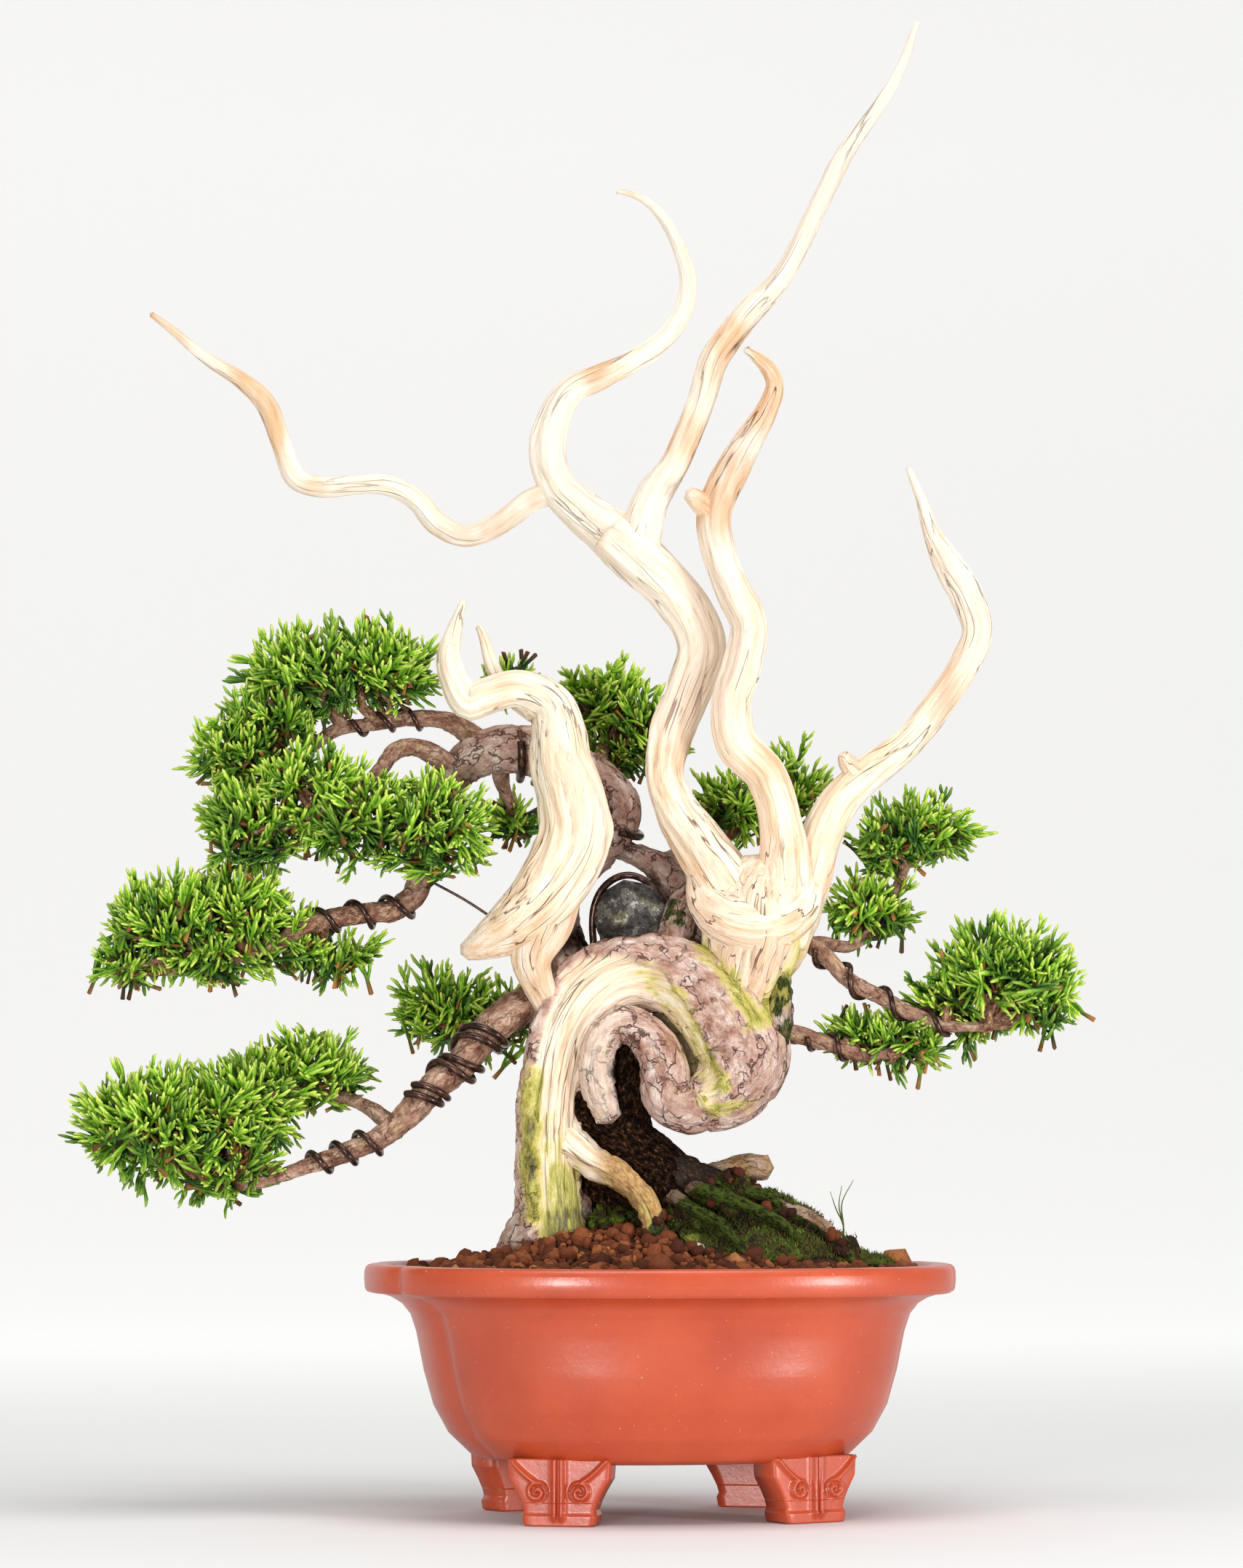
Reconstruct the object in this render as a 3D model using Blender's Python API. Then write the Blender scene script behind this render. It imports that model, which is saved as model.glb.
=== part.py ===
"""Chinese juniper bonsai with bleached deadwood, in a four-lobed terracotta pot on four scroll feet.

Millimetres are used for every named size and turned into metres by MM when a mesh is made.
The pot is square to the X and Y axes. The tree is described as it is seen from its best side
(x to the right, y away from the viewer, z up) and is turned a little about the pot's middle.
"""
import math
import random

import bmesh
import bpy
import numpy as np
from mathutils import Matrix, Vector, noise

MM = 0.001
GAP = 0.35                  # clearance between pieces that touch
TREE_TURN = math.radians(-12)

# pot
DEPTH_RATIO = 0.78          # depth over length of every oval section
OVAL_POWER = 2.3            # above 2 flattens the long sides
CREASE_ANGLE = math.radians(17)
CREASE_DEPTH = 0.030        # share of the radius
CREASE_WIDTH = math.radians(5.0)
FLOOR_TOP = 27.0
POT_BOTTOM = 20.0
OUTER_PROFILE = [           # half length of the section, height, from the rim down
    (101.3, 86.0), (102.5, 84.4), (102.5, 77.2), (96.5, 76.0), (89.5, 72.4), (84.6, 63.0),
    (82.0, 50.0), (78.6, 38.0), (73.4, 28.6), (66.0, 21.6), (60.0, 20.0)]
INNER_PROFILE = [           # from the floor up
    (58.0, 27.0), (67.0, 31.0), (73.0, 42.0), (78.0, 60.0), (84.0, 74.5), (91.0, 83.0), (94.2, 86.0)]
DRAIN_RADIUS = 8.0
DRAIN_X = 30.0
MESH_RADIUS = 12.0
MESH_THICK = 0.9

# feet
FOOT_X = 42.0
FOOT_Y = 36.5
FOOT_TURN = math.radians(22)
FOOT_DEPTH = 12.0
FOOT_TOP = 22.2
FOOT_OUTLINE = [(12.2, 0.0), (12.7, 3.4), (11.9, 5.0), (12.7, 7.6), (14.4, 11.0), (17.0, 15.4),
                (17.4, FOOT_TOP)]
FOOT_LEVELS = [0.0, 3.4, 5.0, 7.0, 9.0, 11.0, 13.0, 15.0, 17.4, FOOT_TOP]
FOOT_STATIONS = [-1, -0.76, -0.62, -0.5, -0.38, -0.24, -0.1, 0.1, 0.24, 0.38, 0.5, 0.62, 0.76, 1]
SCROLL_RADIUS = 3.5
SCROLL_RISE = 1.2
SCROLL_X = 7.2
SCROLL_Z = 11.4

# soil and moss
SOIL_EDGE_Z = 82.0
SOIL_RINGS = 5
SOIL_CLEAR = 1.0
GRAIN_RELIEF = 1.5
MOSS_CENTRE = (39.0, 0.0)
MOSS_HALF = (46.0, 28.0)
MOSS_THICK = 3.4

# foliage
SHOOT_LENGTH = 13.5
SHOOT_RADIUS = 1.2
SHOOT_CLEAR = 2.2           # smallest distance between two shoots
TUFT_LENGTH = 10.0          # broad tufts between the single shoots
LONG_SHARE = 0.5
FULLNESS = 1.13             # how far the lumps swell past the sizes listed below
FACE_AREA = 144.0
LUMP_ROUGH = 0.22

# Limbs: x, y, z and radius of the points each one passes through, root end first.
COIL = [(-38, 2, 70, 13.5), (-38, 2, 84, 12.5), (-38, 1, 100, 11.6), (-39, 0, 121, 10.8),
        (-38, 0, 146, 10.6), (-33, 1, 168, 11.6), (-22, 2, 182, 12.6), (-8, 2, 187, 13.2),
        (7, 1, 183, 14.6), (21, 0, 171, 17.4), (27, -1, 158, 17.4), (23, -3, 147, 14.2), (12, -6, 140, 9.4)]
RING = [(20, -4, 145, 9.0), (10, -6, 140, 9.6), (2, -8, 144, 9.0), (0, -8, 156, 8.2), (-7, -8, 166, 6.8),
        (-16, -8, 168, 6.4), (-22, -8, 159, 6.2), (-22, -7, 147, 6.0), (-18, -5, 136, 4.6)]
BASE_ROOTS = {
    "heart": [(-37, 3, 150, 8), (-25, 6, 138, 9), (-12, 6, 127, 10.5), (0, 6, 115, 12.5), (8, 6, 100, 14),
              (12, 6, 80, 13)],
    "hollow": [(-33, 8, 132, 8), (-22, 11, 116, 9), (-15, 12, 100, 10.5), (-12, 11, 80, 11)],
    "wedge": [(-38, 1, 146, 6.0), (-31, -1, 133, 7.2), (-22, -4, 123, 5.8), (-12, -7, 115, 4.8),
              (-4, -9, 104, 4.2), (0, -10, 82, 4)],
    "flare": [(-6, 4, 122, 7), (8, 2, 114, 9.0), (22, 0, 108, 9.0), (36, -3, 102, 7.5), (50, -6, 95, 5),
              (60, -8, 86, 3)],
    "stub": [(8, 6, 110, 6.0), (20, 7, 116, 5.4), (29, 7, 119, 4.6), (37, 6, 119, 4.4)],
    "outer": [(24, -2, 104, 4.0), (36, -8, 104, 3.4), (48, -11, 103, 3.0), (57, -13, 98, 2.7),
              (64, -14, 88, 2.4)],
    "back": [(-32, 6, 108, 8), (-30, 16, 98, 7), (-32, 28, 88, 5), (-35, 38, 78, 3.5)],
    "left": [(-42, 0, 104, 8), (-49, -3, 94, 6.5), (-55, -6, 84, 4.5), (-60, -8, 76, 3.5)],
    "inner": [(-14, 4, 170, 6), (-13, 4, 155, 7.5), (-12, 5, 140, 8.5), (-12, 6, 126, 9)],
    "web": [(0, 2, 172, 6), (7, 2, 161, 7), (11, 1, 150, 7)],
    "bridge": [(22, 8, 190, 8), (16, 13, 203, 8.0), (9, 17, 214, 7.4), (0, 19, 223, 5.8), (-8, 20, 228, 4.2),
               (-18, 20, 231, 3.6)],
}
REAR_TRUNK = [(-27, 6, 174, 9.5), (-32, 9, 188, 9.0), (-36, 13, 200, 8.4), (-36, 16, 212, 7.6),
              (-31, 19, 222, 7.0), (-22, 20, 230, 7.2), (-16, 20, 238, 7.4), (-15, 20, 246, 7.6),
              (-21, 19, 253, 7.6), (-32, 17, 259, 8.2), (-45, 14, 264, 8.5),
              (-59, 12, 264, 8.0), (-70, 11, 258, 7.0), (-78, 11, 246, 5.8), (-83, 8, 230, 5.0),
              (-85, 4, 215, 4.4), (-93, 1, 208, 4.0), (-106, -3, 206, 3.6), (-120, -7, 203, 3.2),
              (-133, -9, 196, 2.7), (-148, -10, 190, 2.0)]
STUMP = [(-8, 15, 190, 9), (-10, 10, 201, 10.5), (-11, 6, 208, 11.4), (-12, 3, 213, 8.5)]
BRANCHES = {
    "lowest": [(-35, 6, 178, 7), (-45, 4, 176, 6.4), (-55, -2, 170, 6.1), (-64, -7, 161, 5.7),
               (-70, -10, 153, 5.3), (-78, -13, 147, 5.0), (-86, -16, 138, 4.5), (-95, -18, 130, 4.0),
               (-108, -21, 124, 3.4), (-122, -23, 119, 2.7), (-136, -24, 114, 2.1), (-149, -24, 112, 1.6)],
    "lowest_rear": [(-92, -16, 133, 3.2), (-100, -8, 139, 2.6), (-110, 1, 143, 2.2), (-122, 5, 145, 1.8)],
    "lowest_up": [(-52, 0, 172, 4.0), (-58, 12, 170, 2.9), (-64, 22, 168, 2.4), (-70, 29, 168, 2.0)],
    "upper_left": [(-62, 12, 266, 4.6), (-74, 11, 274, 3.4), (-88, 8, 275, 2.7), (-100, 5, 273, 2.5),
                   (-112, 4, 271, 2.4), (-120, 2, 266, 2.2), (-129, 1, 261, 2.0), (-140, 1, 259, 1.6)],
    "upper_up": [(-111, 4, 272, 2.6), (-116, 5, 279, 2.2), (-120, 6, 286, 1.8)],
    "middle_left": [(-72, 11, 257, 4.6), (-83, 4, 264, 3.4), (-92, -2, 263, 3.0), (-98, -8, 255, 2.6),
                    (-107, -13, 246, 2.3), (-120, -15, 240, 2.0), (-134, -14, 234, 1.6)],
    "middle_front": [(-83, 8, 232, 3.4), (-85, -4, 230, 2.8), (-87, -14, 230, 2.4), (-90, -22, 232, 2.0)],
    "back_left": [(-20, 20, 252, 4.5), (-22, 29, 260, 3.2), (-21, 38, 266, 2.6), (-19, 44, 270, 2.2)],
    "back_spray": [(-34, 18, 262, 3.8), (-41, 25, 272, 2.4), (-48, 30, 282, 1.9), (-52, 32, 288, 1.7)],
    "back_hidden": [(-57, 13, 262, 4.0), (-56, 24, 254, 2.6), (-53, 32, 246, 2.0)],
    "back_right": [(-2, 19, 223, 4.5), (4, 28, 227, 3.4), (14, 36, 232, 2.9), (26, 41, 238, 2.4),
                   (34, 42, 244, 2.0)],
    "right_main": [(26, 4, 186, 5.0), (38, 6, 193, 4.2), (48, 6, 198, 3.4), (57, 5, 192, 3.0),
                   (65, 4, 184, 2.8), (76, 3, 178, 2.6), (88, 2, 172, 2.4), (100, 2, 168, 2.1),
                   (114, 2, 168, 1.7)],
    "right_up": [(46, 6, 197, 2.8), (56, 10, 197, 2.4), (66, 14, 196, 2.1), (74, 17, 202, 1.8)],
    "right_high": [(66, 14, 196, 1.9), (78, 19, 207, 1.9), (84, 22, 220, 1.8), (88, 22, 231, 1.6)],
    "right_low": [(36, 4, 166, 4.4), (47, 5, 165, 3.2), (58, 6, 162, 2.7), (70, 6, 158, 2.3),
                  (82, 6, 159, 1.9)],
}
APEX = [(-9, -1, 336, 7.4), (-4, -2, 351, 6.0), (5, -3, 365, 4.8), (13, -3, 384, 4.5),
        (18, -2, 400, 4.9), (27, 0, 413, 5.0), (33, 1, 420, 5.0), (39, 2, 426, 4.2),
        (46, 3, 437, 3.7), (54, 3, 454, 3.3), (63, 2, 472, 3.2), (70, 0, 482, 2.6),
        (78, -3, 493, 2.0), (84, -6, 504, 1.5), (87, -8, 513, 1.1), (89, -9, 518, 0.8)]
HOOK = [(-12, 1, 334, 8.4), (-19, 1, 340, 8.0), (-28, 0, 347, 7.0), (-36, -1, 355, 6.3),
        (-40, -2, 366, 5.8), (-38, -4, 378, 5.3), (-32, -7, 388, 4.7), (-21, -10, 393, 4.1),
        (-10, -12, 398, 3.7), (0, -13, 405, 3.5), (7, -12, 415, 3.3), (9, -9, 427, 3.1),
        (6, -6, 438, 2.5), (1, -4, 448, 2.0), (-5, -3, 455, 1.5), (-11, -3, 458, 1.1), (-16, -3, 459, 0.8)]
LEFT_REACH = [(-37, -1, 354, 4.2), (-46, 0, 351, 3.8), (-57, 3, 343, 3.7), (-68, 6, 339, 3.5),
              (-78, 8, 343, 3.7), (-86, 9, 352, 3.5), (-96, 9, 357, 3.1), (-107, 7, 357, 3.0),
              (-119, 4, 356, 3.3), (-128, 2, 359, 3.5), (-133, 1, 371, 3.4), (-138, 0, 384, 3.6),
              (-146, -1, 392, 3.0), (-159, -3, 400, 2.2), (-170, -5, 409, 1.5), (-178, -6, 415, 0.9)]
DEAD_MAIN = [(28, 0, 196, 12.5), (24, 0, 212, 11.5), (13, 1, 230, 9.6), (5, 2, 243, 7.8),
             (1, 3, 255, 6.9), (3, 4, 268, 7.5), (9, 4, 284, 7.6), (14, 4, 299, 8.0),
             (10, 3, 312, 7.9), (2, 1, 322, 8.3), (-9, 0, 332, 8.8), (-18, 0, 340, 8.2)]
DEAD_FRONT = [(36, -2, 200, 12.5), (42, -4, 218, 9.0), (41, -6, 238, 6.8), (36, -8, 254, 6.4),
              (26, -9, 265, 6.4), (24, -10, 279, 6.1), (28, -11, 293, 6.2), (30, -11, 306, 6.0),
              (25, -11, 317, 5.8), (20, -10, 330, 5.9), (18, -9, 344, 6.1), (22, -9, 356, 6.0),
              (29, -9, 369, 4.9), (36, -9, 381, 3.8), (39, -8, 390, 3.1), (36, -7, 397, 2.5),
              (29, -7, 403, 1.2)]
FRONT_KNOB = [(19, -9, 345, 4.5), (13, -11, 349, 3.6), (9, -12, 352, 2.2)]
DEAD_RIGHT = [(40, 1, 200, 12.0), (50, 2, 216, 8.2), (55, 3, 232, 7.0), (62, 4, 246, 6.9),
              (72, 5, 256, 6.6), (86, 6, 267, 5.6), (97, 6, 281, 5.0), (106, 5, 295, 4.9),
              (110, 4, 306, 4.8), (106, 3, 318, 5.2), (100, 2, 328, 4.8), (94, 2, 340, 2.9),
              (91, 3, 350, 1.9), (88, 4, 358, 1.3), (86, 4, 363, 0.9)]
RIGHT_KNOB = [(70, 4, 254, 4.6), (65, 1, 259, 3.4), (63, -1, 262, 2.0)]
LIP = [(12, 2, 221, 3.5), (16, -4, 211, 7), (23, -7, 205, 9.5), (32, -8, 203, 10.3), (41, -7, 205, 9.5),
       (48, -3, 212, 7), (53, 3, 223, 3.5)]
NECK = [(27, 1, 164, 8.0), (28, 1, 178, 11.5), (31, 0, 188, 14.0), (34, -1, 199, 16.0),
        (34, -1, 209, 16.5), (35, -1, 218, 13.0), (37, -1, 224, 8.0)]
SWEEP = [(-68, -9, 193, 3.0), (-62, -10, 196, 5.6), (-52, -11, 202, 8.8), (-41, -12, 212, 10.8),
         (-31, -11, 230, 11.6), (-31, -9, 245, 11.2), (-35, -7, 258, 10.0), (-36, -6, 269, 8.8),
         (-39, -6, 279, 7.0), (-50, -7, 284, 6.1), (-62, -8, 281, 5.8), (-67, -8, 279, 5.6),
         (-71, -8, 285, 5.0), (-74, -7, 295, 4.2), (-72, -6, 305, 2.7), (-69, -5, 315, 1.1)]
SWEEP_FOOT = [(-34, -9, 220, 7.0), (-40, -9, 204, 8.8), (-45, -8, 192, 7.4), (-43, -5, 183, 5.8), (-39, -1, 175, 5.2)]
SECOND_TIP = [(-44, -4, 278, 5.0), (-54, 1, 284, 3.2), (-59, 3, 293, 2.5), (-62, 4, 303, 1.6),
              (-64, 4, 307, 1.0)]

WIRE_STEPS = 6              # points in a turn of wire
# Training wire: limb, first and last share of its length, turns, wire radius, starting angle.
WIRES = {
    "wire_lowest_a": ("lowest", 0.18, 0.452, 2.7, 1.25, 0.0),
    "wire_lowest_b": ("lowest", 0.208, 0.480, 2.7, 1.25, 0.0),
    "wire_lowest_c": ("lowest", 0.60, 0.79, 3.0, 1.1, 0.0),
    "wire_rear_low": ("rear", 0.278, 0.3032, 0.9, 1.5, 4.0),
    "wire_rear_left": ("rear", 0.435, 0.472, 1.3, 1.5, 2.0),
    "wire_middle": ("rear", 0.745, 0.88, 2.83, 1.0, 0.5),
    "wire_upper_left": ("upper_left", 0.27, 0.58, 2.6, 0.9, 0.0),
    "wire_right_main": ("right_main", 0.32, 0.86, 3.3, 1.0, 0.0),
    "wire_right_low": ("right_low", 0.30, 0.80, 2.0, 0.9, 0.0),
}
GUY_WIRE = [(-79.9, 7.6, 218, 0.5), (-68, 7.8, 211.5, 0.5), (-55, 7.0, 203.0, 0.5),
            (-43.2, 6.4, 195.7, 0.5)]
STUMP_WIRE = [(-25.2, 9, 196.5, 1.3), (-25.6, 9, 203, 1.3), (-25.0, 9, 210, 1.3), (-22.4, 9, 216.2, 1.3),
              (-17.6, 9, 220.8, 1.3), (-11.6, 9, 222.6, 1.3), (-5.6, 8, 220.8, 1.3), (-0.6, 7, 216.4, 1.3),
              (3.2, 7, 210.4, 1.3), (5.6, 6, 204.4, 1.3)]

# Foliage: the lumps of twigs that the shoots of each pad stand out of: x, y, z and half sizes.
FOLIAGE = {
    "foliage_upper_left": [(-122, 4, 290, 19, 15, 12), (-101, 6, 292, 17, 14, 12), (-136, 2, 274, 13, 11, 9),
                           (-147, 0, 262, 13, 11, 10)],
    "foliage_middle_left": [(-141, -10, 236, 14, 12, 13), (-122, -12, 252, 12, 10, 9),
                            (-122, -12, 238, 12, 10, 8), (-104, -14, 238, 16, 13, 13),
                            (-81, -14, 235, 18, 13, 14)],
    "foliage_lower_left": [(-169, -10, 202, 18, 15, 13), (-148, -8, 206, 17, 14, 12),
                           (-156, -10, 192, 13, 10, 7), (-183, -9, 190, 8, 8, 7), (-132, -2, 198, 12, 10, 8),
                           (-117, 4, 192, 14, 9, 6)],
    "foliage_lowest": [(-171, -22, 133, 22, 19, 15), (-147, -20, 135, 16, 16, 14),
                       (-150, -22, 119, 13, 10, 9), (-137, -8, 145, 12, 12, 11), (-122, 3, 151, 16, 12, 11)],
    "foliage_behind": [(-76, 31, 174, 14, 11, 11), (-58, 32, 170, 11, 10, 9)],
    "foliage_crown_back": [(-22, 46, 283, 14, 11, 11), (-6, 44, 274, 12, 10, 11), (-18, 46, 266, 9, 9, 7)],
    "foliage_spray": [(-53, 34, 291, 7, 6, 5)],
    "foliage_hidden": [(-53, 36, 242, 6, 6, 6)],
    "foliage_back_right": [(44, 45, 253, 12, 10, 10), (27, 44, 246, 13, 10, 9), (14, 42, 240, 7, 8, 6)],
    "foliage_right_high": [(92, 22, 237, 14, 12, 9), (79, 20, 232, 9, 8, 8)],
    "foliage_right_middle": [(73, 18, 209, 12, 10, 8)],
    "foliage_right": [(118, 2, 187, 18, 16, 13), (132, 2, 177, 9, 10, 9), (101, 10, 178, 11, 10, 8),
                      (112, 12, 172, 12, 9, 7)],
    "foliage_right_low": [(84, 13, 163, 12, 9, 6), (69, 14, 165, 9, 8, 6)],
}

COLOURS = {
    "terracotta": ((0.62, 0.13, 0.07), 0.42, 0.0),
    "akadama": ((0.19, 0.055, 0.025), 0.95, 0.0),
    "bark": ((0.36, 0.24, 0.19), 0.85, 0.0),
    "deadwood": ((0.86, 0.68, 0.50), 0.7, 0.0),
    "foliage": ((0.05, 0.19, 0.03), 0.6, 0.0),
    "moss": ((0.05, 0.10, 0.01), 0.9, 0.0),
    "wire": ((0.05, 0.025, 0.02), 0.5, 0.8),
    "mesh": ((0.05, 0.05, 0.05), 0.6, 0.0),
}


def clear_scene():
    for obj in list(bpy.data.objects):
        bpy.data.objects.remove(obj, do_unlink=True)


def make_materials():
    made = {}
    for name, (colour, roughness, metallic) in COLOURS.items():
        mat = bpy.data.materials.new(name)
        mat.use_nodes = True
        shader = mat.node_tree.nodes["Principled BSDF"]
        shader.inputs["Base Color"].default_value = (*colour, 1.0)
        shader.inputs["Roughness"].default_value = roughness
        shader.inputs["Metallic"].default_value = metallic
        made[name] = mat
    return made


def collection(name):
    coll = bpy.data.collections.new(name)
    bpy.context.scene.collection.children.link(coll)
    return coll


def turn_tree(points):
    """Tree coordinates turned about the pot's upright middle line."""
    out = np.array(points, float)
    x, y = out[:, 0].copy(), out[:, 1].copy()
    out[:, 0] = x * math.cos(TREE_TURN) - y * math.sin(TREE_TURN)
    out[:, 1] = x * math.sin(TREE_TURN) + y * math.cos(TREE_TURN)
    return out


def smooth_path(points, step):
    """Catmull-Rom curve through the points (x, y, z, radius), read about every step millimetres."""
    pts = np.array(points, float)
    ends = np.vstack([2 * pts[0] - pts[1], pts, 2 * pts[-1] - pts[-2]])
    out = []
    for i in range(1, len(ends) - 2):
        p0, p1, p2, p3 = ends[i - 1:i + 3]
        count = max(1, round(np.linalg.norm((p2 - p1)[:3]) / step))
        t = (np.arange(count) / count)[:, None]
        out.append(0.5 * (2 * p1 + (p2 - p0) * t + (2 * p0 - 5 * p1 + 4 * p2 - p3) * t ** 2
                          + (3 * p1 - p0 - 3 * p2 + p3) * t ** 3))
    out.append(pts[-1:])
    path = np.vstack(out)
    path[:, 3] = np.clip(path[:, 3], pts[:, 3].min(), pts[:, 3].max())
    return path


def section_curve(sides, flute):
    """Closed unit section; every second corner is drawn in by the share flute."""
    curve = bpy.data.curves.new("section", "CURVE")
    spline = curve.splines.new("POLY")
    spline.points.add(sides - 1)
    for i, point in enumerate(spline.points):
        angle = 2 * math.pi * i / sides
        radius = 1.0 - flute * (i % 2)
        point.co = (radius * math.cos(angle), radius * math.sin(angle), 0, 1)
    spline.use_cyclic_u = True
    section = bpy.data.objects.new("section", curve)
    bpy.context.scene.collection.objects.link(section)
    return section


def mesh_from(obj):
    depsgraph = bpy.context.evaluated_depsgraph_get()
    return bpy.data.meshes.new_from_object(obj.evaluated_get(depsgraph))


def tidy_mesh(mesh):
    """Weld the loose caps, split the faces into triangles and face them outwards."""
    work = bmesh.new()
    work.from_mesh(mesh)
    bmesh.ops.remove_doubles(work, verts=work.verts, dist=0.00001)
    bmesh.ops.triangulate(work, faces=work.faces)
    bmesh.ops.recalc_face_normals(work, faces=work.faces)
    work.to_mesh(mesh)
    work.free()
    return mesh


def limb(path, sides=8, flute=0.08, twist=0.0, grow=0.0):
    """A branch: a fluted section carried along the path, as thick as the path's radius says."""
    section = section_curve(sides, flute)
    curve = bpy.data.curves.new("limb", "CURVE")
    curve.dimensions = "3D"
    curve.twist_mode = "MINIMUM"
    spline = curve.splines.new("POLY")
    spline.points.add(len(path) - 1)
    for i, (point, row) in enumerate(zip(spline.points, path)):
        point.co = (*(row[:3] * MM), 1)
        point.radius = (row[3] + grow / (1 - flute)) * MM
        point.tilt = twist * i
    curve.bevel_mode = "OBJECT"
    curve.bevel_object = section
    curve.use_fill_caps = True
    guide = bpy.data.objects.new("limb", curve)
    bpy.context.scene.collection.objects.link(guide)
    obj = bpy.data.objects.new("limb", tidy_mesh(mesh_from(guide)))
    bpy.context.scene.collection.objects.link(obj)
    bpy.data.objects.remove(guide)
    bpy.data.objects.remove(section)
    return obj


def boolean(obj, others, operation, solver="MANIFOLD"):
    """One Boolean on a collection, applied; the other objects are then removed."""
    coll = bpy.data.collections.new("operands")
    for other in others:
        coll.objects.link(other)
    modifier = obj.modifiers.new("join", "BOOLEAN")
    modifier.operation = operation
    modifier.operand_type = "COLLECTION"
    modifier.collection = coll
    modifier.solver = solver
    mesh = mesh_from(obj)
    obj.modifiers.clear()
    obj.data = mesh
    for other in others:
        bpy.data.objects.remove(other)
    bpy.data.collections.remove(coll)
    return obj


def largest_body(obj):
    """Drop loose scraps: keep the connected body with the most faces."""
    work = bmesh.new()
    work.from_mesh(obj.data)
    left = set(work.verts)
    best = []
    while left:
        stack = [left.pop()]
        body = list(stack)
        while stack:
            for edge in stack.pop().link_edges:
                for vert in edge.verts:
                    if vert in left:
                        left.discard(vert)
                        stack.append(vert)
                        body.append(vert)
        if len(body) > len(best):
            best = body
    keep = set(best)
    bmesh.ops.delete(work, geom=[v for v in work.verts if v not in keep], context="VERTS")
    bmesh.ops.triangulate(work, faces=work.faces)
    work.to_mesh(obj.data)
    work.free()
    return obj


def finish_piece(obj, name, mat, coll, sharp=40):
    obj.name = name
    obj.data.name = name
    for other in list(obj.users_collection):
        other.objects.unlink(obj)
    coll.objects.link(obj)
    obj.data.materials.clear()
    obj.data.materials.append(mat)
    obj.data.shade_smooth()
    obj.data.set_sharp_from_angle(angle=math.radians(sharp))
    return obj


def oval(half, count_wide=12, count_end=4):
    """Four-lobed oval: a superellipse with a crease between the long and the short lobes."""
    end = np.linspace(-CREASE_ANGLE, CREASE_ANGLE, count_end, endpoint=False)
    wide = np.linspace(CREASE_ANGLE, math.pi - CREASE_ANGLE, count_wide, endpoint=False)
    t = np.concatenate([end, wide, end + math.pi, wide + math.pi])
    c, s = np.cos(t), np.sin(t)
    away = np.abs((t + CREASE_ANGLE) % math.pi)
    near = np.minimum.reduce([away, math.pi - away, np.abs(away - 2 * CREASE_ANGLE)])
    notch = 1 - CREASE_DEPTH * np.exp(-near / CREASE_WIDTH)
    x = half * np.sign(c) * np.abs(c) ** (2 / OVAL_POWER) * notch
    y = half * DEPTH_RATIO * np.sign(s) * np.abs(s) ** (2 / OVAL_POWER) * notch
    return np.column_stack([x, y])


def loft(rings):
    """Closed solid through stacked rings of equal count, capped at both ends."""
    count = len(rings[0])
    work = bmesh.new()
    rows = [[work.verts.new(Vector(p) * MM) for p in ring] for ring in rings]
    for low, high in zip(rows, rows[1:]):
        for i in range(count):
            j = (i + 1) % count
            work.faces.new((low[i], low[j], high[j], high[i]))
    work.faces.new(rows[0][::-1])
    work.faces.new(rows[-1])
    bmesh.ops.triangulate(work, faces=work.faces)
    bmesh.ops.recalc_face_normals(work, faces=work.faces)
    mesh = bpy.data.meshes.new("loft")
    work.to_mesh(mesh)
    work.free()
    obj = bpy.data.objects.new("loft", mesh)
    bpy.context.scene.collection.objects.link(obj)
    return obj


def oval_ring(half, z):
    section = oval(half)
    return np.column_stack([section, np.full(len(section), z)])


def cylinder(radius, low, high, centre, sides=16):
    work = bmesh.new()
    bmesh.ops.create_cone(work, cap_ends=True, segments=sides, radius1=radius * MM, radius2=radius * MM,
                          depth=(high - low) * MM,
                          matrix=Matrix.Translation(Vector((*centre, (low + high) / 2)) * MM))
    bmesh.ops.triangulate(work, faces=work.faces)
    mesh = bpy.data.meshes.new("cylinder")
    work.to_mesh(mesh)
    work.free()
    obj = bpy.data.objects.new("cylinder", mesh)
    bpy.context.scene.collection.objects.link(obj)
    return obj


def make_pot():
    rings = [oval_ring(half, z) for half, z in reversed(OUTER_PROFILE)]
    rings += [oval_ring(half, z) for half, z in reversed(INNER_PROFILE)]
    pot = loft(rings)
    holes = [cylinder(DRAIN_RADIUS, POT_BOTTOM - 5, FLOOR_TOP + 5, (side * DRAIN_X, 0)) for side in (-1, 1)]
    return boolean(pot, holes, "DIFFERENCE", "EXACT")


def pot_envelope(grow):
    """The pot's outside as a plain solid, a little larger all round."""
    rings = [oval_ring(half + grow, z - grow) for half, z in reversed(OUTER_PROFILE)]
    return loft(rings)


def foot_relief(x, z):
    """How far the foot's face stands out: an upright ridge, two volutes and their rising arms."""
    ridge = 1.5 * np.exp(-(x / 1.7) ** 2)
    side = np.abs(x)
    volute = SCROLL_RISE * np.exp(-(((side - SCROLL_X) ** 2 + (z - SCROLL_Z) ** 2) / SCROLL_RADIUS ** 2) ** 2)
    arm_z = SCROLL_Z + 2.6 + 0.8 * (side - SCROLL_X)
    arm = 0.7 * SCROLL_RISE * np.exp(-((z - arm_z) / 1.3) ** 2) * (side > SCROLL_X)
    return ridge + np.maximum(volute, arm)


def foot_half(z):
    """Half width of the bracket at a height, read from its outline."""
    width, height = np.array(FOOT_OUTLINE).T
    return np.interp(z, height, width)


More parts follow.
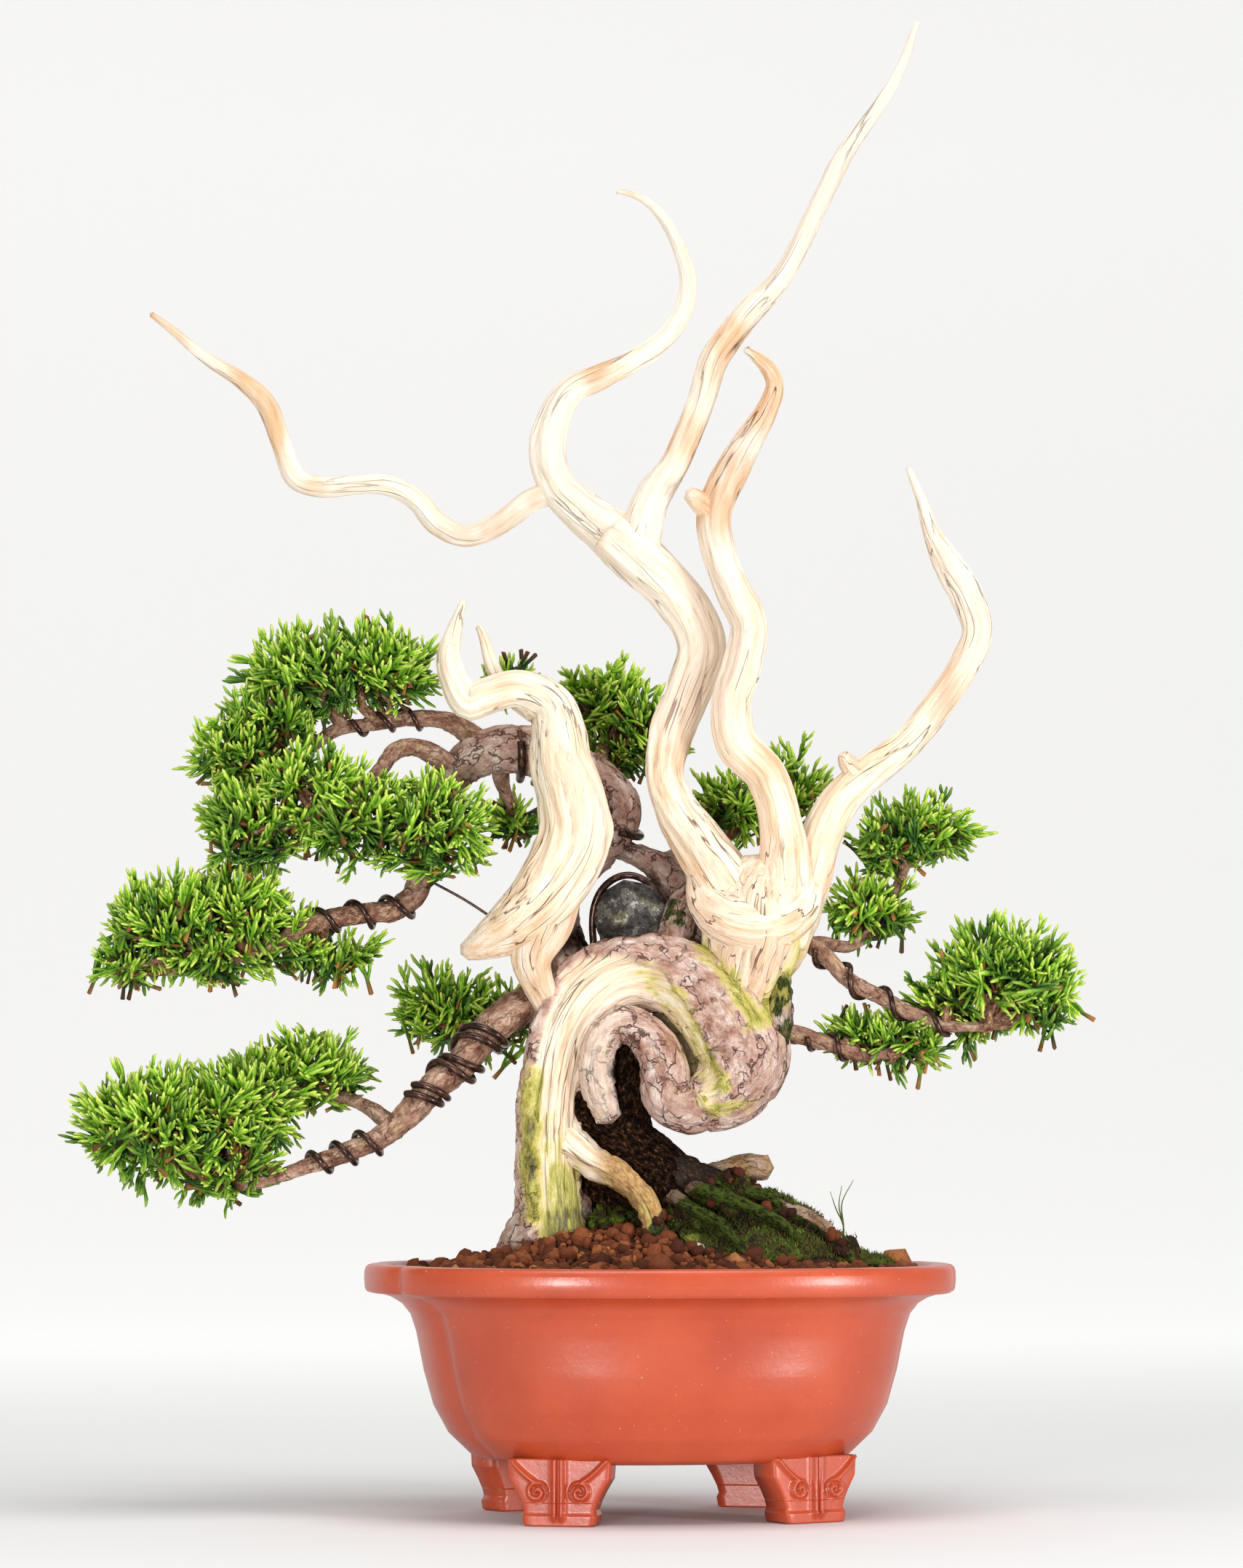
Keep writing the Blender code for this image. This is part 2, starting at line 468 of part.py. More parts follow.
def make_foot(side_x, side_y):
    """Bracket foot: level slices of its outline, with the carving raised on the outer face."""
    rings = []
    for z in FOOT_LEVELS:
        front_x = foot_half(z) * np.array(FOOT_STATIONS)
        front_y = -FOOT_DEPTH / 2 - foot_relief(front_x, z)
        back_x = foot_half(z) * np.array([1.0, 0.33, -0.33, -1.0])
        front = np.column_stack([front_x, front_y, np.full(len(front_x), z)])
        back = np.column_stack([back_x, np.full(4, FOOT_DEPTH / 2), np.full(4, z)])
        rings.append(np.vstack([front, back]))
    foot = loft(rings)
    yaw = (math.pi if side_y > 0 else 0) + FOOT_TURN * side_x * -side_y
    foot.data.transform(Matrix.Translation(Vector((side_x * FOOT_X, side_y * FOOT_Y, 0)) * MM)
                        @ Matrix.Rotation(yaw, 4, "Z"))
    foot = boolean(foot, [pot_envelope(GAP)], "DIFFERENCE")
    return largest_body(foot)


def soil_height(x, y):
    """Smooth top of the soil: low at the wall, mounded at the trunk and higher towards the right."""
    mound = 14.0 * np.exp(-((x + 18) / 42) ** 2 - ((y - 2) / 34) ** 2)
    ridge = 20.0 * np.exp(-((x - 38) / 26) ** 2 - ((y + 6) / 22) ** 2)
    return SOIL_EDGE_Z + mound + ridge


def moss_reach(x, y):
    """Below 1 under the moss, in the tree's coordinates."""
    return ((x - MOSS_CENTRE[0]) / MOSS_HALF[0]) ** 2 + ((y - MOSS_CENTRE[1]) / MOSS_HALF[1]) ** 2


def grain(x, y, salt):
    """Seeded relief of soil grains between -1 and 1."""
    return np.array([noise.noise(Vector((a * 0.37, b * 0.37, salt))) * 2 for a, b in zip(x, y)])


def make_soil():
    edge = oval(89.3)
    rings = [oval_ring(half - SOIL_CLEAR, z) for half, z in (*INNER_PROFILE[0:1], *INNER_PROFILE[2:5])]
    rings[0][:, 2] += GAP
    for i in range(SOIL_RINGS):
        share = 1 - i / SOIL_RINGS
        x, y = (edge * share).T
        z = soil_height(x, y)
        bare = (moss_reach(x * math.cos(TREE_TURN) + y * math.sin(TREE_TURN),
                           -x * math.sin(TREE_TURN) + y * math.cos(TREE_TURN)) > 2.0) & (i > 0)
        z = z - GRAIN_RELIEF * np.abs(grain(x, y, 3.1)) * bare
        rings.append(np.column_stack([x, y, z]))
    return loft(rings)


def make_moss():
    """Cushion of moss on the right of the trunk, its underside just clear of the soil."""
    around = np.linspace(0, 2 * math.pi, 16, endpoint=False)
    ragged = 1 + 0.10 * np.sin(3 * around + 0.6) + 0.06 * np.sin(7 * around)
    low, high = [], []
    for share in np.linspace(0.12, 0.94, 4):
        x = MOSS_CENTRE[0] + MOSS_HALF[0] * share * ragged / 1.16 * np.cos(around)
        y = MOSS_CENTRE[1] + MOSS_HALF[1] * share * ragged / 1.16 * np.sin(around)
        flat = turn_tree(np.column_stack([x, y]))
        floor = soil_height(flat[:, 0], flat[:, 1])
        rough = 1 + 0.35 * grain(flat[:, 0], flat[:, 1], 9.4)
        thick = MOSS_THICK * np.sqrt(1 - (share / 0.98) ** 2) * rough
        low.append(np.column_stack([flat, floor + 1.2]))
        high.append(np.column_stack([flat, floor + 1.7 + thick]))
    return loft(low + high[::-1])


def limb_paths():
    """Every path of the tree in the pot's coordinates: bark wood, then the two dead parts."""
    bark = {"coil": (smooth_path(COIL, 12), 10, 0.06, 0.10), "ring": (smooth_path(RING, 10), 8, 0.06, 0.10),
            "rear": (smooth_path(REAR_TRUNK, 11), 7, 0.06, 0.12),
            "stump": (smooth_path(STUMP, 7), 9, 0.10, 0.0)}
    for name, points in BASE_ROOTS.items():
        bark["root_" + name] = (smooth_path(points, 16), 7, 0.10, 0.15)
    for name, points in BRANCHES.items():
        bark[name] = (smooth_path(points, 20), 6, 0.05, 0.1)
    crown = [(APEX, 6, 0.10, 0.25), (HOOK, 6, 0.10, 0.25), (LEFT_REACH, 5, 0.08, 0.2),
             (DEAD_MAIN, 8, 0.14, 0.14), (DEAD_FRONT, 8, 0.14, -0.14), (DEAD_RIGHT, 7, 0.12, 0.16),
             (FRONT_KNOB, 6, 0.1, 0), (RIGHT_KNOB, 6, 0.1, 0), (NECK, 9, 0.10, 0.1), (LIP, 7, 0.1, 0.1)]
    crown = [(smooth_path(points, 13), sides, flute, twist) for points, sides, flute, twist in crown]
    sweep = [(smooth_path(SWEEP, 13), 8, 0.14, 0.14), (smooth_path(SWEEP_FOOT, 9), 8, 0.14, 0.2),
             (smooth_path(SECOND_TIP, 9), 6, 0.1, 0.2)]
    turned = {name: (turn_tree(path), *rest) for name, (path, *rest) in bark.items()}
    return (turned, [(turn_tree(path), *rest) for path, *rest in crown],
            [(turn_tree(path), *rest) for path, *rest in sweep])


def joined(paths, grow=0.0):
    solids = [limb(path, sides, flute, twist, grow) for path, sides, flute, twist in paths]
    return boolean(solids[0], solids[1:], "UNION")


def helix(path, first, last, turns, radius, start):
    """Wire wound round a limb, just clear of its surface, with turns carried by a twist-free frame."""
    steps = np.linalg.norm(np.diff(path[:, :3], axis=0), axis=1)
    along = np.concatenate([[0], np.cumsum(steps)]) / steps.sum()
    count = int(turns * WIRE_STEPS) + 1
    share = np.linspace(first, last, count)
    middle = np.column_stack([np.interp(share, along, path[:, k]) for k in range(4)])
    fine = np.column_stack([np.interp(np.linspace(0, 1, 400), along, path[:, k]) for k in range(3)])
    tangent = np.gradient(fine, axis=0)
    tangent /= np.linalg.norm(tangent, axis=1)[:, None]
    side = np.cross(tangent[0], (0, 0, 1.0))
    sides = []
    for t in tangent:
        side = side - t * side.dot(t)
        side = side / np.linalg.norm(side)
        sides.append(side)
    index = np.clip((share * 399).astype(int), 0, 399)
    u = np.array(sides)[index]
    v = np.cross(tangent[index], u)
    angle = start + 2 * math.pi * turns * np.linspace(0, 1, count)
    out = (middle[:, 3] + GAP) / math.cos(math.pi / WIRE_STEPS) + radius + 0.1
    place = middle[:, :3] + out[:, None] * (np.cos(angle)[:, None] * u + np.sin(angle)[:, None] * v)
    return np.column_stack([place, np.full(count, radius)])


def outside(point, lumps):
    """Rough distance in millimetres from a point to the nearest lump, negative inside one."""
    rows = np.array(lumps, float)
    reach = np.linalg.norm((point - rows[:, :3]) / rows[:, 3:], axis=1)
    return ((reach - 1) * rows[:, 3:].min(axis=1)).min()


def shoot_gap(root, tip, placed):
    """Smallest distance between a shoot and the shoots already placed, from points along both."""
    if not placed:
        return 1e9
    share = np.linspace(0, 1, 7)[:, None]
    mine = root + (tip - root) * share
    rows = np.array(placed)
    others = rows[:, :1] + (rows[:, 1:] - rows[:, :1]) * share[None]
    return np.sqrt(((mine[None, :, None] - others[:, None]) ** 2).sum(-1)).min()


def lump_shell(work, lump, seed):
    """Rough ellipsoid: the hull of points spread evenly on a sphere, pushed in and out by noise."""
    a, b, c = lump[3:]
    area = 4 * math.pi * (((a * b) ** 1.6 + (a * c) ** 1.6 + (b * c) ** 1.6) / 3) ** (1 / 1.6)
    count = max(10, round(area / (2 * FACE_AREA)))
    golden = math.pi * (3 - math.sqrt(5))
    for i in range(count):
        z = 1 - 2 * (i + 0.5) / count
        ring = math.sqrt(1 - z * z)
        work.verts.new((ring * math.cos(golden * i), ring * math.sin(golden * i), z))
    bmesh.ops.convex_hull(work, input=work.verts)
    for vert in work.verts:
        rough = 1 + LUMP_ROUGH * noise.noise(vert.co * 2.3 + Vector((seed, 0, 0)))
        vert.co = Vector([m + s * rough * v for m, s, v in zip(lump[:3], lump[3:], vert.co)])
    bmesh.ops.recalc_face_normals(work, faces=work.faces)


def make_foliage(name, seed):
    """Rough lumps of twigs with slim three-sided shoots raised from their faces, up and outwards."""
    draw = random.Random(seed)
    swollen = {key: [(*row[:3], *(FULLNESS * half for half in row[3:])) for row in rows]
               for key, rows in FOLIAGE.items()}
    lumps = swollen.pop(name)
    others = [lump for rows in swollen.values() for lump in rows]
    placed, solids = [], []
    for i, lump in enumerate(lumps):
        work = bmesh.new()
        lump_shell(work, lump, seed + 0.37 * i)
        beside = [other for other in lumps if other != lump]
        for face in list(work.faces):
            root = np.array(face.calc_center_median())
            if beside and outside(root, beside) < 0:
                continue
            lean = (draw.uniform(-0.3, 0.3), draw.uniform(-0.3, 0.3), draw.uniform(0.05, 0.45))
            aim = np.array(face.normal) + np.array(lean)
            aim /= np.linalg.norm(aim)
            long = draw.random() < LONG_SHARE
            length = (SHOOT_LENGTH if long else TUFT_LENGTH) * draw.uniform(0.8, 1.15)
            tip = root + aim * length
            crowded = shoot_gap(root, tip, placed) < SHOOT_CLEAR
            if crowded or outside(tip, others) < outside(tip, lumps) + 1.5:
                continue
            placed.append((root, tip))
            if long:
                grow_shoot(work, face, Vector(root), Vector(tip))
            else:
                poke = bmesh.ops.poke(work, faces=[face])
                poke["verts"][0].co = Vector(tip)
        mesh = bpy.data.meshes.new(name)
        work.to_mesh(mesh)
        work.free()
        rows = np.array([v.co[:] for v in mesh.vertices])
        mesh.vertices.foreach_set("co", (turn_tree(rows) * MM).ravel())
        obj = bpy.data.objects.new(name, tidy_mesh(mesh))
        bpy.context.scene.collection.objects.link(obj)
        solids.append(obj)
    return boolean(solids[0], solids[1:], "UNION") if len(solids) > 1 else solids[0]


def grow_shoot(work, face, root, tip):
    """Inset a small triangle in the face and pull its middle out to the tip."""
    corners = list(face.verts)
    inner = []
    for vert in corners:
        outward = vert.co - root
        inner.append(work.verts.new(root + outward.normalized() * min(SHOOT_RADIUS, outward.length * 0.5)))
    peak = work.verts.new(tip)
    work.faces.remove(face)
    for i in range(3):
        j = (i + 1) % 3
        work.faces.new((corners[i], corners[j], inner[j], inner[i]))
        work.faces.new((inner[i], inner[j], peak))


def centre_all(coll):
    """Move every piece so that the whole stands on the ground with its box centred on the origin."""
    depsgraph = bpy.context.evaluated_depsgraph_get()
    low, high = Vector((1e9,) * 3), Vector((-1e9,) * 3)
    for obj in coll.objects:
        mesh = obj.evaluated_get(depsgraph).data
        rows = np.array([v.co[:] for v in mesh.vertices])
        low = Vector([min(a, b) for a, b in zip(low, rows.min(axis=0))])
        high = Vector([max(a, b) for a, b in zip(high, rows.max(axis=0))])
    shift = Vector(((low.x + high.x) / 2, (low.y + high.y) / 2, low.z))
    for obj in coll.objects:
        obj.data.transform(Matrix.Translation(-shift))
    print("box", [round(v, 5) for v in high - low], "shift", [round(v, 5) for v in shift])


def main():
    clear_scene()
    mats = make_materials()
    coll = collection("juniper_bonsai")

    finish_piece(largest_body(make_pot()), "pot", mats["terracotta"], coll)
    for side_x, side_y, name in ((-1, -1, "foot_front_left"), (1, -1, "foot_front_right"),
                                 (-1, 1, "foot_back_left"), (1, 1, "foot_back_right")):
        finish_piece(make_foot(side_x, side_y), name, mats["terracotta"], coll)
    for side, name in ((-1, "drain_mesh_left"), (1, "drain_mesh_right")):
        low = FLOOR_TOP + GAP
        disc = cylinder(MESH_RADIUS, low, low + MESH_THICK, (side * DRAIN_X, 0))
        finish_piece(disc, name, mats["mesh"], coll)

    bark, crown, sweep = limb_paths()
    trunk = largest_body(joined(bark.values()))
    finish_piece(trunk, "trunk_and_branches", mats["bark"], coll)
    dead_crown = boolean(joined(crown), [joined(bark.values(), GAP)], "DIFFERENCE")
    finish_piece(largest_body(dead_crown), "deadwood_crown", mats["deadwood"], coll)
    dead_left = boolean(joined(sweep), [joined(bark.values(), GAP), joined(crown, GAP)], "DIFFERENCE")
    finish_piece(largest_body(dead_left), "deadwood_left", mats["deadwood"], coll)

    pocket_top = FLOOR_TOP + MESH_THICK + 2 * GAP
    pockets = [cylinder(MESH_RADIUS + GAP, FLOOR_TOP - 1, pocket_top, (side * DRAIN_X, 0))
               for side in (-1, 1)]
    soil = boolean(make_soil(), pockets + [joined(bark.values(), GAP)], "DIFFERENCE")
    finish_piece(largest_body(soil), "soil", mats["akadama"], coll)
    raised = make_soil()
    raised.data.transform(Matrix.Translation((0, 0, GAP * MM)))
    moss = boolean(make_moss(), [joined(bark.values(), GAP), raised], "DIFFERENCE")
    finish_piece(largest_body(moss), "moss", mats["moss"], coll)

    wires = {name: helix(bark[limb_name][0], *rest) for name, (limb_name, *rest) in WIRES.items()}
    wires["guy_wire"] = turn_tree(smooth_path(GUY_WIRE, 12))
    wires["wire_stump"] = turn_tree(smooth_path(STUMP_WIRE, 20))
    for name, path in wires.items():
        finish_piece(limb(path, sides=5 if path[0, 3] > 1 else 4, flute=0.0), name, mats["wire"], coll)

    for seed, name in enumerate(FOLIAGE):
        cutters = [joined(bark.values(), GAP), joined(crown, GAP), joined(sweep, GAP)]
        cutters += [limb(path, 6, 0.0, 0.0, GAP) for path in wires.values()]
        leaf = boolean(make_foliage(name, seed + 1), cutters, "DIFFERENCE")
        finish_piece(largest_body(leaf), name, mats["foliage"], coll, sharp=30)
    centre_all(coll)
    for obj in coll.objects:
        print(obj.name, len(obj.data.polygons))
    print("triangles", sum(len(obj.data.polygons) for obj in coll.objects))


main()
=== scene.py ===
# %% [markdown]
# A juniper bonsai in its pot
#
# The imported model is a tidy, faceted tree. This lesson dresses it: fluted bare wood, flaking bark,
# cord-like scale foliage, clay grains, moss and a satin clay pot. Every new piece is a surface worked
# out with numpy. Sizes are in millimetres until the last moment, because a tree of half a metre is
# easier to think about that way.

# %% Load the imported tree
import math
from itertools import product

import bpy
import numpy as np
from mathutils import Matrix, Vector


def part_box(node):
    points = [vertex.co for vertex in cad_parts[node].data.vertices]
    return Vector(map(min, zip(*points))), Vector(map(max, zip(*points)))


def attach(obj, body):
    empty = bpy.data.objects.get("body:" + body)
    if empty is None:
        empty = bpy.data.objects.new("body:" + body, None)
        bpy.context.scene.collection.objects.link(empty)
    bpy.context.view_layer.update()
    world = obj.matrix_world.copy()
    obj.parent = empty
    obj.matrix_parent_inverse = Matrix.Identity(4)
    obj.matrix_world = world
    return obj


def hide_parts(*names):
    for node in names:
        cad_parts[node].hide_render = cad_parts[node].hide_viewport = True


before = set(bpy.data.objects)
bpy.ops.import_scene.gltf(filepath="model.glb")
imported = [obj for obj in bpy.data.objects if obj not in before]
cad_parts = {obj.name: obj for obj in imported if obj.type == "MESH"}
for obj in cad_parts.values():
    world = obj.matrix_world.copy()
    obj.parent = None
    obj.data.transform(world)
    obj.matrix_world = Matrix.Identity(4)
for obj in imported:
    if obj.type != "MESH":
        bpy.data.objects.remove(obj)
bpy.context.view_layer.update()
MM = 0.001
pot_low, pot_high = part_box("pot")
POT_X = (pot_low.x + pot_high.x) / 2 / MM
TREE_TURN = math.radians(-12)
print("pot stands at x =", round(POT_X, 2), "mm; nodes:", len(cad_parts))

# %% [markdown]
# Where things stand
#
# The tree is described as it is seen from its best side: x to the right, y away from the eye, z up.
# The pot is turned a little against that view, so the tree's points are turned about the pot's
# middle line and moved with it. One function does this for every piece of the tree.


# %% From the viewer's millimetres to the model's metres
def turned(x, y, angle):
    """Turned about the upright axis: x cos - y sin, x sin + y cos."""
    c, s = math.cos(angle), math.sin(angle)
    return x * c - y * s, x * s + y * c


def place(points, turn=TREE_TURN):
    """Turn x and y about the pot's middle line, move along x to where the pot stands, scale to metres."""
    x, y = turned(points[..., 0], points[..., 1], turn)
    return np.stack([x + POT_X, y, points[..., 2]], axis=-1) * MM


def unit(v):
    return v / np.maximum(np.linalg.norm(v, axis=-1, keepdims=True), 1e-9)


def put(name, data):
    """A new object in the scene."""
    thing = bpy.data.objects.new(name, data)
    bpy.context.scene.collection.objects.link(thing)
    return thing


print("the pot's middle in metres:", place(np.zeros(3)))

# %% [markdown]
# The camera
#
# The photograph was taken from close to table height with a long lens, looking slightly up. The
# camera is placed by those facts: distance, height, the direction it looks from, and the lens.

# %% Camera
PHOTO = (1709, 2156)
LENS_PIXELS = 6950              # focal length measured in pixels of the photograph
EYE_DISTANCE = 1.75
EYE_HEIGHT = 0.130
LOOK_UP = math.radians(3.98)
ROLL = math.radians(0.11)
POT_PIXEL = 910                 # column of the photograph where the pot's middle falls
SENSOR = 36                     # millimetres, the height of the camera's sensor

right = Vector((math.cos(TREE_TURN), math.sin(TREE_TURN), 0))
back = Vector((math.sin(TREE_TURN), -math.cos(TREE_TURN), 0))
aside = (POT_PIXEL - PHOTO[0] / 2) / LENS_PIXELS * EYE_DISTANCE
eye = Vector((POT_X * MM, 0, 0)) - right * aside + back * EYE_DISTANCE + Vector((0, 0, EYE_HEIGHT))
gaze = (-back * math.cos(LOOK_UP) + Vector((0, 0, math.sin(LOOK_UP)))).normalized()
camera = bpy.data.cameras.new("camera")
camera.sensor_fit = "VERTICAL"
camera.sensor_height = SENSOR
camera.lens = LENS_PIXELS * SENSOR / PHOTO[1]
camera_object = put("camera", camera)
view_matrix = Matrix((right, right.cross(gaze), -gaze)).transposed().to_4x4()
view_matrix.translation = eye
camera_object.matrix_world = view_matrix @ Matrix.Rotation(ROLL, 4, "Z")
bpy.context.scene.camera = camera_object
print("lens", round(camera.lens, 1), "mm, eye at", [round(v, 3) for v in eye])

# %% [markdown]
# Smooth random numbers
#
# Wood grain, bark plates and soil all need randomness that has no jumps. Value noise gives every
# corner of a unit lattice a random number and blends between the eight corners round a point. The
# random number is a hash of the corner's position, so the same point gives the same value each run.


# %% Noise
MIXERS = (73856093, 19349663, 83492791)      # large odd numbers that scatter the bits of a place
SEED_MIXER, LAST_MIXER = 668265263, 1274126177


def corner_random(k, seed):
    """A number from 0 to 1 for each whole-number lattice corner, from mixed-up bits of its place."""
    h = seed * SEED_MIXER + 1013
    for axis, mixer in enumerate(MIXERS):
        h = h ^ (k[..., axis] * mixer)
    h = ((h ^ (h >> 13)) * LAST_MIXER) & 0x7FFFFFFF
    return ((h ^ (h >> 15)) & 0xFFFF) / 0xFFFF


def noise(points, seed=0):
    """Blend, with smooth steps, between random values at the eight lattice corners round each point."""
    cell = np.floor(points).astype(np.int64)
    f = points - cell
    f = f * f * (3 - 2 * f)
    total = np.zeros(points.shape[:-1])
    for corner in product((0, 1), repeat=3):
        weight = np.prod(np.where(np.array(corner) == 1, f, 1 - f), axis=-1)
        total += weight * corner_random(cell + np.array(corner), seed)
    return total * 2 - 1


def plates(points, seed=0):
    """How far each point is from the seam between its nearest random centre and the next: 0 on a seam."""
    cell = np.floor(points).astype(np.int64)
    first, second = np.full(points.shape[:-1], 9.0), np.full(points.shape[:-1], 9.0)
    for corner in product((-1, 0, 1), repeat=3):
        k = cell + np.array(corner)
        centre = k + np.stack([corner_random(k, seed + i) for i in range(3)], axis=-1)
        away = np.linalg.norm(points - centre, axis=-1)
        second = np.minimum(second, np.maximum(first, away))
        first = np.minimum(first, away)
    return second - first


def layered(points, seed=0, layers=3):
    """Sum of noise at doubled frequency and halved strength."""
    return sum(noise(points * 2.03 ** i, seed + 7 * i) * 0.5 ** i for i in range(layers))


def smooth_step(low, high, value):
    t = np.clip((value - low) / (high - low), 0, 1)
    return t * t * (3 - 2 * t)


print("noise along a line:", noise(np.arange(5)[:, None] * [0.4, 0.0, 0.0]).round(2))

# %% [markdown]
# Meshes from grids
#
# A limb is a grid: rings along its length, points round each ring, and a pole at each end so that
# the skin is closed. The faces follow from the grid's size alone, so they are written once as whole
# arrays. Several grids can be stacked into one mesh, each with its own numbers for the materials.


# %% Grids, poles and pieces
FACES = ("quads", "tris")


def circle(count):
    """Even angles of one whole turn."""
    return np.linspace(0, 2 * np.pi, count, endpoint=False)


def around(angle, u, v):
    """cos angle * u + sin angle * v, for one u and v in each row and any number of angles."""
    return np.cos(angle)[..., None] * u[:, None] + np.sin(angle)[..., None] * v[:, None]


def closed(grid, poles, **values):
    """Skin over a grid of rings: quads between rings, triangles to the pole at either end."""
    rings, sides = grid.shape[:2]
    i, j = np.meshgrid(np.arange(rings - 1), np.arange(sides), indexing="ij")
    k = (j + 1) % sides
    quads = np.stack([i * sides + j, i * sides + k, (i + 1) * sides + k, (i + 1) * sides + j], axis=-1)
    j = np.arange(sides)
    k = (j + 1) % sides
    first, last = np.full(sides, rings * sides), np.full(sides, rings * sides + 1)
    end = (rings - 1) * sides
    tris = np.vstack([np.stack([first, k, j], axis=-1), np.stack([last, end + j, end + k], axis=-1)])
    return {"points": np.vstack([grid.reshape(-1, 3), poles]), "quads": quads.reshape(-1, 4), "tris": tris,
            **values}


def repeated(pattern, points, **values):
    """Copies of a pattern's faces for points that are given copy by copy."""
    step = (np.arange(len(points)) * points.shape[1])[:, None, None]
    return {"points": points.reshape(-1, 3), "quads": (pattern["quads"] + step).reshape(-1, 4),
            "tris": (pattern["tris"] + step).reshape(-1, 3), **values}


def stack(parts):
    """Several skins as one: points, faces and the per-point values are put end to end."""
    starts = np.cumsum([0] + [len(part["points"]) for part in parts[:-1]])
    return {key: np.concatenate([part[key] + start * (key in FACES) for part, start in zip(parts, starts)])
            for key in parts[0]}


def new_mesh(name, points, skin):
    """A smooth mesh from points in metres and the faces of a skin."""
    mesh = bpy.data.meshes.new(name)
    mesh.vertices.add(len(points))
    mesh.vertices.foreach_set("co", points.astype(np.float32).ravel())
    corners = np.concatenate([skin["quads"].ravel(), skin["tris"].ravel()]).astype(np.int32)
    mesh.loops.add(len(corners))
    mesh.loops.foreach_set("vertex_index", corners)
    four, three = len(skin["quads"]), len(skin["tris"])
    starts = np.concatenate([np.arange(four) * 4, four * 4 + np.arange(three) * 3]).astype(np.int32)
    mesh.polygons.add(len(starts))
    mesh.polygons.foreach_set("loop_start", starts)
    mesh.update(calc_edges=True)
    mesh.shade_smooth()
    return mesh


def make_piece(name, skin, material, replaced=(), turn=TREE_TURN):
    """One mesh object at the origin, with its place in its points and its values as attributes."""
    mesh = new_mesh(name, place(skin["points"], turn), skin)
    for key, values in skin.items():
        if key not in ("points", *FACES):
            kind, field = ("FLOAT_VECTOR", "vector") if values.ndim == 2 else ("FLOAT", "value")
            data = mesh.attributes.new(key, kind, "POINT").data
            data.foreach_set(field, values.astype(np.float32).ravel())
    mesh.materials.append(material)
    piece = put(name, mesh)
    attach(piece, "root")
    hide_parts(*replaced)
    print(name, len(skin["quads"]) * 2 + len(skin["tris"]), "triangles")
    return piece


# %% [markdown]
# Limbs
#
# Trunk, branches, roots and dead spires are all the same kind of thing: a rough tube that follows a
# bent line. The line is a Catmull-Rom curve through a few measured points, each with a radius. A
# frame that hardly twists is found without walking along it: most limbs bend close to one plane, so
# the direction they vary in least serves as "front" all the way.


# %% Lines and limbs
def smooth_line(rows, step):
    """Catmull-Rom curve through rows of x, y, z, radius, read at even steps of its length."""
    p = np.array(rows, float)
    p = np.vstack([2 * p[0] - p[1], p, 2 * p[-1] - p[-2]])
    a, b, c, d = p[:-3, None], p[1:-2, None], p[2:-1, None], p[3:, None]
    t = np.linspace(0, 1, 24, endpoint=False)[None, :, None]
    curve = 0.5 * (2 * b + (c - a) * t + (2 * a - 5 * b + 4 * c - d) * t ** 2
                   + (3 * b - a - 3 * c + d) * t ** 3)
    curve = np.vstack([curve.reshape(-1, p.shape[1]), p[-2]])
    length = np.concatenate([[0], np.cumsum(np.linalg.norm(np.diff(curve[:, :3], axis=0), axis=1))])
    even = np.linspace(0, length[-1], max(4, round(length[-1] / step)))
    line = np.column_stack([np.interp(even, length, column) for column in curve.T])
    line[:, 3] = np.clip(line[:, 3], p[1:-1, 3].min(), p[1:-1, 3].max())
    return line, even


def front_and_side(line):
    """Tangent, front and side of the line; front starts from the direction the line varies in least."""
    tangent = unit(np.gradient(line[:, :3], axis=0))
    least = np.linalg.svd(tangent, full_matrices=False)[2][-1]
    least = -least if least[1] > 0 else least
    front = unit(least - tangent * (tangent @ least)[:, None])
    return tangent, front, np.cross(tangent, front)


SEED_SHIFT = 31.7               # each seed moves a limb's grain by this much, so no two look the same


def unrolled(turn, far, radius, seed):
    """Grain coordinates: the limb laid straight along z, moved by its seed."""
    return np.stack([np.cos(turn) * radius, np.sin(turn) * radius, far], axis=-1) + seed * SEED_SHIFT


def limb(rows, step, sides, relief, seed, blunt=0.5):
    """Ring points = line + radius * relief(angle, length) * (cos angle * front + sin angle * side)."""
    line, along = smooth_line(rows, step)
    tangent, front, side = front_and_side(line)
    turn, far = np.meshgrid(circle(sides), along)
    radius = line[:, 3:4]
    factor = relief(turn, far, radius, seed)
    grid = line[:, None, :3] + (radius * factor)[..., None] * around(turn, front, side)
    poles = line[[0, -1], :3] + tangent[[0, -1]] * line[[0, -1], 3:4] * [[-blunt], [blunt]]
    ends = np.column_stack([np.zeros((2, 2)), along[[0, -1]]]) + seed * SEED_SHIFT
    grain = np.vstack([unrolled(turn, far, radius, seed).reshape(-1, 3), ends])
    return closed(grid, poles, grain=grain)


def ring_noise(turn, far, lobes, stretch, seed, twist=0.0):
    """Noise that closes on itself round the limb and is drawn out along it."""
    a = turn + twist * far
    return noise(np.stack([np.cos(a) * lobes, np.sin(a) * lobes, far / stretch], axis=-1), seed)


bent = smooth_line([(0, 0, 0, 2), (4, 0, 6, 2), (0, 0, 12, 1)], 1.0)[0]
print("a bent line of 12 mm in height has", len(bent), "rings")

# %% [markdown]
# Bare wood
#
# Dead juniper wood weathers along its fibres. Soft wood goes first, which leaves long twisting
# ridges with narrow cracks between them. The relief is one broad layer of drawn-out noise for the
# ridges, a fine one for the fibres, and thin deep lines where a third layer passes through zero.


